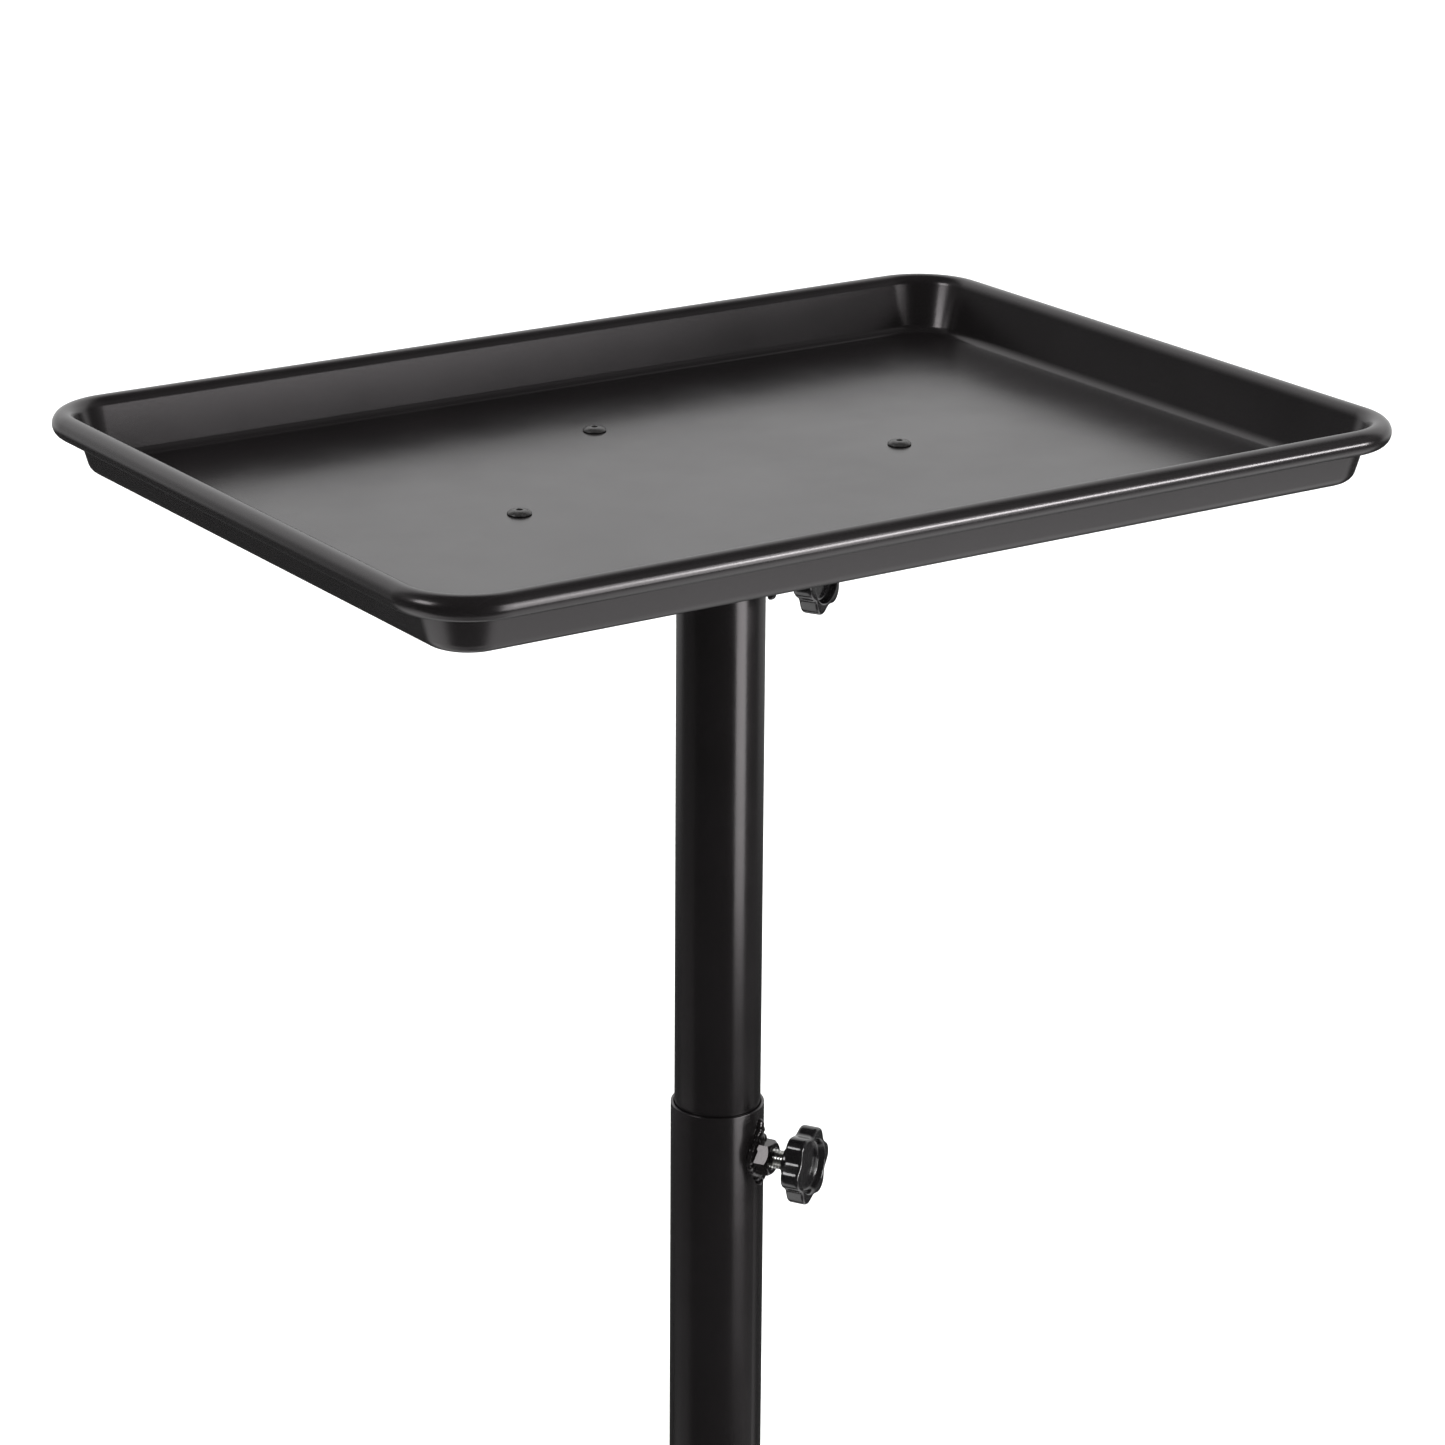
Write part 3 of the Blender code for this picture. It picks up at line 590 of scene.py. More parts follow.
def hexagon(flats, low, thick, profile):
    """A hexagon along Z, its corners turned down to a profile."""
    corner = flats / 2 / cos(pi / 6)
    bm = bmesh.new()
    bmesh.ops.create_cone(
        bm, cap_ends=True, segments=6, radius1=corner, radius2=corner, depth=thick,
        matrix=Matrix.Translation((0, 0, low + thick / 2)),
    )
    return combined(bm, turned(profile, 48), "INTERSECT")


def over_corners(flats):
    """A radius just clear of a hexagon's corners."""
    return flats / 2 / cos(pi / 6) + 0.0002


def piece(name, bm, body, material, stands_for=(), sharp=SHARP):
    made = linked(name, bm)
    made.data.shade_smooth()
    made.data.set_sharp_from_angle(angle=sharp)
    made.data.materials.append(material)
    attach(made, body)
    if stands_for:
        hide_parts(*stands_for)
    return made


def refinish(node, material):
    """Gives a CAD node that stays its finished material."""
    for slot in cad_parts[node].material_slots:
        slot.material = material


def middle_of(node):
    low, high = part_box(node)
    return (low + high) / 2


def radius_of(node):
    """Radius of an upright round node."""
    low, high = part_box(node)
    return (high.y - low.y) / 2


def welded(points, size, seed, squash=(1, 1, 1), voxel=0.0004):
    """Beads of weld run together along some points."""
    dice = Random(seed)
    bm = bmesh.new()
    for point in points:
        spot = Vector(point) + Vector([dice.uniform(-0.16, 0.16) * size for _ in range(3)])
        girth = size * dice.uniform(0.82, 1.15)
        seat = Matrix.Translation(spot) @ Matrix.Diagonal((*(girth * s for s in squash), 1))
        bmesh.ops.create_icosphere(bm, subdivisions=3, radius=1, matrix=seat)
    return shaped(
        bm,
        ("REMESH", {"mode": "VOXEL", "voxel_size": voxel}),
        ("SMOOTH", {"factor": 0.5, "iterations": 4}),
    )


# ---- tray ---------------------------------------------------------------------------------
def tray_section(sizes, floor_drop):
    """The sheet's upper skin at one place, outwards along X from the bead's centre."""
    bead, lean = sizes.bead_radius, sizes.draft
    touch = Vector((-bead * cos(lean), 0, bead * sin(lean)))
    foot = touch.x - (floor_drop + touch.z) * tan(lean)
    reach = sizes.floor_fillet * tan((pi / 2 - lean) / 2)
    start = foot - reach - 0.003
    bm = drawn([(start, -floor_drop), (foot, -floor_drop, reach), (touch.x, touch.z)])
    tip = min(bm.verts, key=lambda vert: (vert.co - touch).length)
    bmesh.ops.spin(
        bm, geom=[tip], cent=(0, 0, 0), axis=(0, 1, 0), angle=sizes.curl, steps=40
    )
    return bm


def tray_pan(sizes):
    """The section is swung round each corner and drawn along each side in turn."""
    low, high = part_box("tray")
    centre = (low + high) / 2
    round_ = sizes.corner_radius
    half_x = high.x - centre.x - sizes.bead_radius - round_
    half_y = high.y - centre.y - sizes.bead_radius - round_
    bead_z = high.z - sizes.bead_radius
    floor_z = low.z + sizes.sheet
    bm = tray_section(sizes, bead_z - floor_z)
    hub = Vector((centre.x + half_x, centre.y + half_y, 0))
    bmesh.ops.translate(bm, verts=bm.verts, vec=(hub.x + round_, hub.y, bead_z))
    moving = bm.verts[:] + bm.edges[:]
    runs = ((-2 * half_x, 0), (0, -2 * half_y), (2 * half_x, 0), (0, 2 * half_y))
    for run in runs:
        moving = bmesh.ops.spin(
            bm, geom=moving, cent=hub, axis=(0, 0, 1), angle=pi / 2, steps=18
        )["geom_last"]
        moving = drawn_out(bm, only(bmesh.types.BMEdge, moving), (*run, 0))
        hub = hub + Vector((*run, 0))
    bmesh.ops.remove_doubles(bm, verts=bm.verts, dist=0.00001)
    rim = [e for e in bm.edges if e.is_boundary and abs(e.verts[0].co.z - floor_z) < 0.00005]
    bmesh.ops.contextual_create(bm, geom=rim)
    bmesh.ops.recalc_face_normals(bm, faces=bm.faces)
    floor = max(bm.faces, key=lambda face: face.calc_area())
    if floor.normal.z < 0:
        bmesh.ops.reverse_faces(bm, faces=bm.faces)
    return shaped(bm, ("SOLIDIFY", {"thickness": sizes.sheet, "offset": -1.0}))


def rivet_seat(place):
    spot = middle_of("tray_rivet_" + place)
    return Matrix.Translation((spot.x, spot.y, 0))


def rivet_hole(place):
    low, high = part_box("tray_rivet_" + place)
    return rod(RIVET_HOLE, low.z, high.z, 24, rivet_seat(place))


def rivet(sizes, place):
    """A blind rivet: domed flange, the broken mandrel in its bore and a set tail."""
    low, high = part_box("tray_rivet_" + place)
    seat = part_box("tray")[0].z + sizes.sheet + 0.0002
    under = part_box("tray_bracket")[0].z - 0.0002
    head, crown = sizes.rivet_radius, seat + RIVET_CROWN
    corners = [
        (0, crown - 0.0009),
        (RIVET_BORE * 0.75, crown - 0.0009, 0.0001),
        (RIVET_BORE * 0.85, crown - 0.0012),
        (RIVET_BORE, crown - 0.0012),
        (RIVET_BORE, crown, 0.0002),
        (head * 0.55, crown - 0.00008),
        (head * 0.80, crown - 0.00045),
        (head * 0.97, crown - 0.00110),
        (head, seat + 0.0002, 0.0001),
        (head, seat, 0.0001),
        (RIVET_SHANK, seat),
        (RIVET_SHANK, under),
        (0.0035, under, 0.0003),
        (0.0035, under - 0.0022, 0.0008),
        (0.0018, low.z, 0.0003),
        (0, low.z),
    ]
    return turned(corners, 40, False, rivet_seat(place))


def cross_bracket(sizes):
    """A flat cross: a square drawn out into four arms, its corners and ends rounded."""
    low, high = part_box("tray_bracket")
    half = sizes.bracket_arm / 2
    bm = bmesh.new()
    bmesh.ops.create_grid(bm, x_segments=1, y_segments=1, size=half)
    for edge in list(bm.edges):
        middle = (edge.verts[0].co + edge.verts[1].co) / 2
        reach = high.x if abs(middle.x) > abs(middle.y) else high.y
        drawn_out(bm, [edge], middle.normalized() * (reach - half))
    inner = [v for v in bm.verts if v.co.length < 2 * half]
    ends = [v for v in bm.verts if v.co.length >= 2 * half]
    rounded(bm, ends, half * 0.8, 10)
    bmesh.ops.dissolve_faces(bm, faces=bm.faces)
    rounded(bm, inner, 0.010, 10)
    bmesh.ops.translate(bm, verts=bm.verts, vec=(0, 0, low.z))
    thickened(bm, high.z - low.z)
    edges = [e for e in bm.edges if e.is_manifold and e.calc_face_angle(0) > BRACKET_SHARP]
    bmesh.ops.bevel(
        bm, geom=edges, offset=0.0003, affect="EDGES", segments=2, profile=0.5, material=-1,
        clamp_overlap=True,
    )
    return bm


class CART_OT_tray(bpy.types.Operator):
    """Presses the tray and sets its rivets"""

    bl_idname = "cart.tray"
    bl_label = "Tray"

    def execute(self, context):
        sizes = settings().tray
        pan = tray_pan(sizes)
        for place in RIVETS:
            pan = combined(pan, rivet_hole(place))
        piece("tray_pan", pan, "tray_head", finish(tray_coat), ["tray"])
        for place in RIVETS:
            piece("blind_rivet_" + place, rivet(sizes, place), "tray_head", finish(rivet_paint),
                  ["tray_rivet_" + place])
        return {"FINISHED"}


class CART_OT_bracket(bpy.types.Operator):
    """Makes the cross bracket and the socket welded under it"""

    bl_idname = "cart.bracket"
    bl_label = "Bracket and socket"

    def execute(self, context):
        cross = cross_bracket(settings().tray)
        for place in RIVETS:
            cross = combined(cross, rivet_hole(place))
        piece("cross_bracket", cross, "tray_head", finish(base_coat), ["tray_bracket"])
        low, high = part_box("tray_socket")
        outer = radius_of("tray_socket")
        inner = radius_of("upper_tube") + 0.0005
        wall = [
            (outer, high.z), (outer, low.z, 0.0006), (inner, low.z, 0.0004), (inner, high.z)
        ]
        socket = combined(turned(wall, 96, True), stud_hole("tray"))
        piece("tray_socket_tube", socket, "tray_head", finish(tube_coat), ["tray_socket"])
        turns = [2 * pi * i / 84 for i in range(84)]
        path = [(outer * cos(a), outer * sin(a), high.z - 0.0004) for a in turns]
        seam = welded(path, 0.0019, 5)
        seam = combined(seam, rod(outer - 0.0004, low.z, high.z + 0.01, 96))
        above = bmesh.new()
        seat = Matrix.Translation((0, 0, high.z + 0.0052))
        bmesh.ops.create_cube(above, size=1, matrix=seat @ Matrix.Diagonal((0.1, 0.1, 0.01, 1)))
        seam = combined(seam, above)
        piece("socket_weld", seam, "tray_head", finish(weld_coat), sharp=WELD_SHARP)
        return {"FINISHED"}


# ---- post ---------------------------------------------------------------------------------
class CART_OT_post(bpy.types.Operator):
    """Draws the two telescoping tubes of the post"""

    bl_idname = "cart.post"
    bl_label = "Post"

    def execute(self, context):
        sizes = settings().post
        for node, body, wall in TUBES:
            low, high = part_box(node)
            outer = radius_of(node)
            inner = outer - wall
            ring = [
                (outer, high.z, sizes.rim_round), (outer, low.z, 0.0003),
                (inner, low.z, 0.0002), (inner, high.z, 0.0002),
            ]
            bm = turned(ring, 128, True)
            if node == "lower_tube":
                bm = combined(bm, stud_hole("post"))
                way = Matrix.Rotation(sizes.dimple_azimuth, 4, "Z")
                ball = bmesh.new()
                seat = way @ Matrix.Translation((outer + 0.0004, 0, sizes.dimple_height))
                bmesh.ops.create_uvsphere(
                    ball, u_segments=24, v_segments=16, radius=sizes.dimple_radius, matrix=seat
                )
                bm = combined(bm, ball)
            piece(node + "_drawn", bm, body, finish(tube_coat), [node])
        refinish("upper_tube_cap", finish(moulded_black))
        refinish("upper_tube_glide", finish(moulded_black))
        refinish("post_foot_plug", finish(zinc_steel))
        return {"FINISHED"}


# ---- clamps -------------------------------------------------------------------------------
def clamp_seat(prefix):
    """The clamp's frame: Z outwards from the post's axis, X down."""
    stud = middle_of(prefix + "_knob_stud")
    way = Matrix.Rotation(atan2(stud.y, stud.x), 4, "Z") @ Matrix.Rotation(pi / 2, 4, "Y")
    return Matrix.Translation((0, 0, stud.z)) @ way


def stud_hole(prefix):
    return rod(STUD_HOLE, 0.010, 0.040, 32, clamp_seat(prefix))


def knob_ring(bm, radius, height, sizes=None):
    """A ring of edges; with sizes it follows the lobes, and radius is measured over them."""
    at = Matrix.Translation((0, 0, height))
    made = bmesh.ops.create_circle(
        bm, cap_ends=False, segments=36, radius=radius, matrix=at
    )["verts"]
    if sizes:
        valley = sizes.valley_radius / sizes.tip_radius
        for turn, part in ((0, valley), (10, 0.34 + 0.66 * valley), (20, 0.985)):
            group = [
                v for v in made
                if abs(abs((degrees(atan2(v.co.y, v.co.x)) + 30) % 60 - 30) - turn) < 1
            ]
            bmesh.ops.scale(bm, vec=(part, part, 1), verts=group)
    return list({edge for vert in made for edge in vert.link_edges})


def star_knob(sizes):
    """Rings from the dish over the rim and round the lobes to the hub and the stud's bore."""
    front, back = sizes.lobe_end, sizes.lobe_start
    tip, dish, hub = sizes.tip_radius, sizes.dish_radius, sizes.hub_radius
    floor = front - sizes.dish_depth
    stations = [
        (0.0020, floor + 0.00012, None),
        (dish - 0.0040, floor + 0.00005, None),
        (dish - 0.0017, floor, None),
        (dish - 0.0012, floor + 0.0003, None),
        (dish - 0.0005, front - 0.0005, None),
        (dish - 0.0001, front, None),
        (dish + 0.0003, front, None),
        (tip - 0.0013, front - 0.0001, sizes),
        (tip - 0.0005, front - 0.0002, sizes),
        (tip, front - 0.0008, sizes),
        (tip, front - 0.0016, sizes),
        (tip, back + 0.0014, sizes),
        (tip - 0.0001, back + 0.0007, sizes),
        (tip - 0.0006, back + 0.0001, sizes),
        (tip - 0.0014, back, sizes),
        (hub + 0.0020, back, None),
        (hub + 0.0004, back - 0.0004, None),
        (hub, back - 0.0012, None),
        (hub, sizes.hub_start + 0.0008, None),
        (hub - 0.0003, sizes.hub_start + 0.0001, None),
        (hub - 0.0010, sizes.hub_start, None),
        (KNOB_BORE + 0.0003, sizes.hub_start, None),
        (KNOB_BORE, sizes.hub_start + 0.0003, None),
        (KNOB_BORE, front - KNOB_COVER, None),
    ]
    bm = bmesh.new()
    rings = [knob_ring(bm, *station) for station in stations]
    for first, second in zip(rings, rings[1:]):
        bmesh.ops.bridge_loops(bm, edges=first + second)
    bmesh.ops.contextual_create(bm, geom=rings[0])
    bmesh.ops.contextual_create(bm, geom=rings[-1])
    bmesh.ops.recalc_face_normals(bm, faces=bm.faces)
    return bm


def threaded_stud(sizes, start, end, seat):
    """One pitch of thread wound along the stud, then cut square at both ends."""
    pitch, crest = sizes.pitch, THREAD_CREST
    root = crest - THREAD_DEPTH
    section = [
        (root, 0), (root, 0.00018), (crest, 0.00058), (crest, 0.00067), (root, 0.00107),
        (root, pitch),
    ]
    bm = drawn(section)
    turns = int((end - start) / pitch) + 3
    steps = 32
    bmesh.ops.spin(
        bm, geom=bm.verts[:] + bm.edges[:], cent=(0, 0, 0), axis=(0, 0, 1),
        dvec=(0, 0, pitch / steps), angle=2 * pi * turns, steps=turns * steps,
    )
    bmesh.ops.remove_doubles(bm, verts=bm.verts, dist=0.000002)
    bmesh.ops.translate(bm, verts=bm.verts, vec=(0, 0, start - 1.2 * pitch))
    for height, outer in ((start, False), (end, True)):
        bmesh.ops.bisect_plane(
            bm, geom=bm.verts[:] + bm.edges[:] + bm.faces[:], dist=MERGE,
            plane_co=(0, 0, height), plane_no=(0, 0, 1), clear_outer=outer,
            clear_inner=not outer,
        )
    rims = [e for e in bm.edges if e.is_boundary]
    bmesh.ops.holes_fill(bm, edges=rims, sides=0)
    closed(bm)
    bm.transform(seat)
    return bm


def weld_nut(flats, thick, bore, seat):
    """A chamfered hexagon nut with a bored hole."""
    clear = over_corners(flats)
    bm = hexagon(flats, 0, thick, [
        (0, thick), (flats / 2 - 0.0002, thick), (clear, thick - 0.0013), (clear, -0.001),
        (0, -0.001),
    ])
    bm = combined(bm, rod(bore, -0.01, thick + 0.01, 32))
    mouth = turned([
        (0, thick + 0.001), (bore + 0.0014, thick + 0.001), (bore - 0.0001, thick - 0.0005),
        (0, thick - 0.0005),
    ], 32)
    bm = combined(bm, mouth)
    bm.transform(seat)
    return bm


def nut_weld_path(outer, flats, seed):
    """Weld round the nut's foot, climbing the tube above it and dripping below it."""
    dice = Random(seed)
    path = []
    for i in range(34):
        turn = 2 * pi * i / 34
        path.append((flats * NUT_REACH * cos(turn), flats * NUT_REACH * sin(turn)))
    for i in range(22):
        climb = dice.uniform(0.0, 1.0)
        side = dice.uniform(-1.0, 1.0) * 0.0042 * (1.05 - climb)
        path.append((-flats * NUT_REACH - 0.0072 * climb, side))
    for i in range(12):
        drop = dice.uniform(0.0, 1.0)
        side = dice.uniform(-1, 1) * 0.0038 * (1.1 - drop)
        path.append((flats * NUT_REACH + 0.0042 * drop, side))
    return [(x, y, sqrt(outer * outer - y * y) + 0.0001) for x, y in path]


def nut_weld(prefix, outer, flats, seed):
    seat = clamp_seat(prefix)
    beads = welded(nut_weld_path(outer, flats, seed), 0.0018, seed, (1, 1, 0.9), 0.00030)
    beads = combined(beads, rod(KNOB_BORE, 0, 0.05, 24))
    beads.transform(seat)
    height = seat.translation.z
    return combined(beads, rod(outer - 0.0004, height - 0.04, height + 0.04, 96))


class CART_OT_clamps(bpy.types.Operator):
    """Makes the welded nuts, the threaded studs and the star knobs"""

    bl_idname = "cart.clamps"
    bl_label = "Clamps"

    def execute(self, context):
        sizes = settings().clamp
        clamps = (
            ("tray", "tray_socket", "tray_head", sizes.tray_turn, 11),
            ("post", "lower_tube", "root", sizes.post_turn, 23),
        )
        for prefix, carrier, body, turn, seed in clamps:
            seat = clamp_seat(prefix)
            outer, tip = radius_of(carrier), radius_of("upper_tube") + GAP
            nut_seat = seat @ Matrix.Translation((0, 0, outer + GAP))
            nut = weld_nut(sizes.nut_flats, NUT_THICK, STUD_HOLE, nut_seat)
            piece(carrier + "_weld_nut", nut, body, finish(weld_coat), [carrier + "_nut"])
            beads = nut_weld(prefix, outer, sizes.nut_flats, seed)
            piece(carrier + "_nut_weld", beads, body, finish(weld_coat), sharp=WELD_SHARP)
            end = outer + sizes.lobe_end - KNOB_COVER - GAP
            stud = threaded_stud(sizes, tip, end, seat)
            piece(prefix + "_clamp_thread", stud, prefix + "_clamp_stud", finish(zinc_steel),
                  [prefix + "_knob_stud"], sharp=radians(28))
            knob = star_knob(sizes)
            knob.transform(seat @ Matrix.Translation((0, 0, outer)) @ Matrix.Rotation(turn, 4, "Z"))
            star = piece(prefix + "_star_knob", knob, prefix + "_clamp_knob",
                         finish(knob_plastic), [prefix + "_knob"], sharp=pi)
            smoother = star.modifiers.new("Smooth", "SUBSURF")
            smoother.levels = smoother.render_levels = 2
        return {"FINISHED"}


# ---- base ---------------------------------------------------------------------------------
def leg_turn(place):
    stem = middle_of("caster_" + place + "_stem")
    return atan2(stem.y, stem.x)


def box_beam(sizes, near, far, turn, low, high, width):
    """A rectangular tube with rounded edges, open at its ends."""
    height = high - low
    bm = flat_face(height, width, sizes.edge_radius, 8)
    bmesh.ops.delete(bm, geom=bm.faces[:], context="FACES_ONLY")
    drawn_out(bm, bm.edges[:], (0, 0, far - near))
    bmesh.ops.recalc_face_normals(bm, faces=bm.faces)
    side = max(bm.faces, key=lambda face: face.calc_area())
    if side.normal.dot(side.calc_center_median() * Vector((1, 1, 0))) < 0:
        bmesh.ops.reverse_faces(bm, faces=bm.faces)
    bm = shaped(bm, ("SOLIDIFY", {"thickness": sizes.wall, "offset": -1.0}))
    seat = Matrix.Translation((0, 0, (low + high) / 2)) @ Matrix.Rotation(turn, 4, "Z")
    bm.transform(seat @ Matrix.Translation((near, 0, 0)) @ Matrix.Rotation(pi / 2, 4, "Y"))
    return bm


def arm_weld(sizes, start, low, high, width, seed):
    """Fillets up both sides of the joint, with a low seam over and under it."""
    side, step = width / 2, 0.0013
    path = []
    for side_y in (-side, side):
        for i in range(int((high - low) / step) + 1):
            path.append((start - 0.0001, side_y, low + i * step))
    for i in range(int(width / step) + 1):
        path.append((start - 0.0001, -side + i * step, high - 0.0009))
        path.append((start - 0.0001, -side + i * step, low + 0.0009))
    return welded(path, sizes.weld, seed, voxel=0.0005)


def end_plug(sizes, start, flange, width, low, high):
    """A push-in plug: a softly rounded flange on a plain spigot."""
    bm = thickened(flat_face(high - low, width, sizes.edge_radius, 8), flange)
    front = [
        e for e in bm.edges
        if all(abs(v.co.z - flange) < MERGE for v in e.verts) and e.calc_face_angle(0) > 1
    ]
    rounded(bm, front, 0.0011, 4, "EDGES")
    inset = 2 * (sizes.wall + GAP)
    spigot = thickened(flat_face(high - low - inset, width - inset, 0.0015, 4), PLUG_DEPTH)
    spigot.transform(Matrix.Translation((0, 0, 0.001 - PLUG_DEPTH)))
    bm = combined(bm, spigot, "UNION")
    seat = Matrix.Translation((start, 0, (low + high) / 2))
    bm.transform(seat @ Matrix.Rotation(pi / 2, 4, "Y"))
    return bm


class CART_OT_base(bpy.types.Operator):
    """Makes the base's beams, their welds, the end plugs and the centre bolt"""

    bl_idname = "cart.base"
    bl_label = "Base"

    def execute(self, context):
        sizes = settings().base
        low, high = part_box("base_beam")
        turn = leg_turn("rear_right")
        half_width = sizes.beam_width / 2
        reach = high.x / cos(turn) - half_width * tan(turn)
        beam = box_beam(sizes, -reach, reach, turn, low.z, high.z, 2 * half_width)
        piece("cross_beam", beam, "root", finish(base_coat), ["base_beam"])
        start = half_width + GAP
        for place, seed in (("rear_left", 3), ("front_right", 4)):
            turn = leg_turn(place)
            arm = box_beam(sizes, start, reach, turn, low.z, high.z, 2 * half_width)
            piece("side_arm_" + place, arm, "root", finish(base_coat), ["base_arm_" + place])
            seam = arm_weld(sizes, start, low.z, high.z, 2 * half_width, seed)
            seam.transform(Matrix.Rotation(turn, 4, "Z"))
            piece("arm_weld_" + place, seam, "root", finish(weld_coat), sharp=WELD_SHARP)
        for place in CORNERS:
            cap = end_plug(sizes, reach + GAP, PLUG_FLANGE, 2 * half_width, low.z, high.z)
            cap.transform(Matrix.Rotation(leg_turn(place), 4, "Z"))
            piece("end_plug_" + place, cap, "root", finish(moulded_black),
                  ["base_end_cap_" + place])
        self.bolt()
        return {"FINISHED"}

    def bolt(self):
        low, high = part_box("base_washer")
        outer = radius_of("base_washer")
        ring = [
            (outer, high.z, 0.0002), (outer, low.z, 0.0003), (WASHER_HOLE, low.z, 0.0002),
            (WASHER_HOLE, high.z),
        ]
        piece("flat_washer", turned(ring, 64, True), "root", finish(zinc_steel),
              ["base_washer"])
        head_top = low.z - GAP
        low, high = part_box("base_bolt")
        clear = over_corners(BOLT_FLATS)
        bm = hexagon(BOLT_FLATS, low.z, head_top - low.z, [
            (0, head_top + 0.001), (clear, head_top + 0.001), (clear, low.z + 0.0014),
            (BOLT_FLATS / 2 - 0.0003, low.z), (0, low.z),
        ])
        bm = combined(bm, rod(BOLT_RADIUS, head_top - 0.001, high.z, 32), "UNION")
        piece("centre_bolt", bm, "root", finish(zinc_steel), ["base_bolt"])


# ---- casters ------------------------------------------------------------------------------
def caster_seat(place):
    """The caster's frame: Z up the swivel's axis, X the way the wheels trail."""
    stem = middle_of("caster_" + place + "_stem")
    return Matrix.Translation((stem.x, stem.y, 0)) @ Matrix.Rotation(leg_turn(place), 4, "Z")


def caster_trail():
    stem = middle_of("caster_rear_right_stem")
    axle = middle_of("caster_rear_right_axle")
    return hypot(axle.x - stem.x, axle.y - stem.y), axle.z


def axle_seat(quarter=pi / 2):
    trail, height = caster_trail()
    return Matrix.Translation((trail, 0, height)) @ Matrix.Rotation(quarter, 4, "X")


def caster_hood(sizes):
    """The hood and web as one turned section, with the swivel's boss and room for the wheels."""
    height = caster_trail()[1]
    inner, wide, web = HOOD_INNER, sizes.hood_width / 2, sizes.web / 2
    outer = inner + sizes.hood
    section = [
        (0.0040, -web), (inner, -web, 0.0008), (inner, -wide, 0.0006),
        (inner + 0.0009, -wide, 0.0005), (outer, -wide + 0.0022, 0.0016),
        (outer, wide - 0.0022, 0.0016), (inner + 0.0009, wide, 0.0005), (inner, wide, 0.0006),
        (inner, web, 0.0008), (0.0040, web),
    ]
    bm = drawn(section, True)
    start, sweep = radians(-6), radians(192)
    bm.transform(Matrix.Rotation(start, 4, "Z"))
    bmesh.ops.spin(
        bm, geom=bm.verts[:] + bm.edges[:], cent=(0, 0, 0), axis=(0, 0, 1), angle=sweep, steps=56
    )
    rims = [e for e in bm.edges if e.is_boundary]
    bmesh.ops.holes_fill(bm, edges=rims, sides=0)
    closed(bm)
    ends = [face for face in bm.faces if len(face.verts) > 8]
    bmesh.ops.triangulate(bm, faces=ends)
    face, room = web + 0.0001, web + 0.0002  # no two faces lie in one plane
    disc = turned([
        (WHEEL_BORE, face), (WEB_HUB, face, 0.0006), (WEB_HUB, -face, 0.0006), (WHEEL_BORE, -face)
    ], 64, True)
    bm = combined(bm, disc, "UNION")
    bm.transform(axle_seat())
    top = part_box("caster_rear_right_housing")[1].z
    boss = turned([
        (0, height + 0.008), (0.0108, height + 0.008, 0.0008), (0.0103, top, 0.0014),
        (0.0062, top, 0.0003), (0.0058, top - 0.0008, 0.0003), (0, top - 0.0008),
    ], 72)
    bm = combined(bm, boss, "UNION")
    for side in (1, -1):
        low, high = sorted((side * room, side * (room + 0.04)))
        bm = combined(bm, rod(WHEEL_ROOM, low, high, 72, axle_seat()))
    bm = combined(bm, rod(0.0034, -0.03, 0.03, 32, axle_seat()))
    return combined(bm, rod(0.0043, 0.044, 0.075, 32))


def caster_wheel(sizes, outer_radius):
    """Soft tread on a dished disc with a hub cap; the outer face points along Z."""
    inner, outer = 0.0045, 0.0215
    rim = outer_radius - sizes.tread
    section = [
        (0, outer - 0.0007), (0.0060, outer - 0.0011, 0.0006), (0.0068, outer - 0.0024, 0.0004),
        (0.0080, outer - 0.0028, 0.0004), (rim - 0.0050, outer - 0.0032, 0.0010),
        (rim - 0.0028, outer - 0.0006, 0.0008), (rim - 0.0003, outer - 0.0004, 0.0003),
        (rim, outer - 0.0010, 0.0002), (rim + 0.0003, outer - 0.0004, 0.0003),
        (outer_radius, outer - 0.0009, 0.0024), (outer_radius, inner + 0.0008, 0.0024),
        (rim, inner, 0.0004), (0.0090, inner, 0.0004), (WHEEL_BORE, inner, 0.0002),
        (WHEEL_BORE, 0.0202), (0, 0.0202),
    ]
    return turned(section, 96)


def swivel_stem():
    """A hexagon collar between a plain pin below and a plain shank above."""
    low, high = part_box("caster_rear_right_stem")
    collar_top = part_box("base_beam")[0].z - GAP
    collar_low = collar_top - COLLAR_THICK
    clear = over_corners(COLLAR_FLATS)
    bm = hexagon(COLLAR_FLATS, collar_low, COLLAR_THICK, [
        (0, collar_top), (COLLAR_FLATS / 2, collar_top), (clear, collar_top - 0.0009),
        (clear, collar_low + 0.0009), (COLLAR_FLATS / 2, collar_low), (0, collar_low),
    ])
    pin = rod(0.004, low.z, collar_low + 0.001, 32)
    shank = turned([
        (0, high.z), (BOLT_RADIUS, high.z, 0.0008), (BOLT_RADIUS, collar_top - 0.001),
        (0, collar_top - 0.001),
    ], 32)
    bm = combined(bm, pin, "UNION")
    return combined(bm, shank, "UNION")


def moved(bm, seat):
    """A copy of a shape, in its place."""
    shape = bm.copy()
    shape.transform(seat)
    return shape


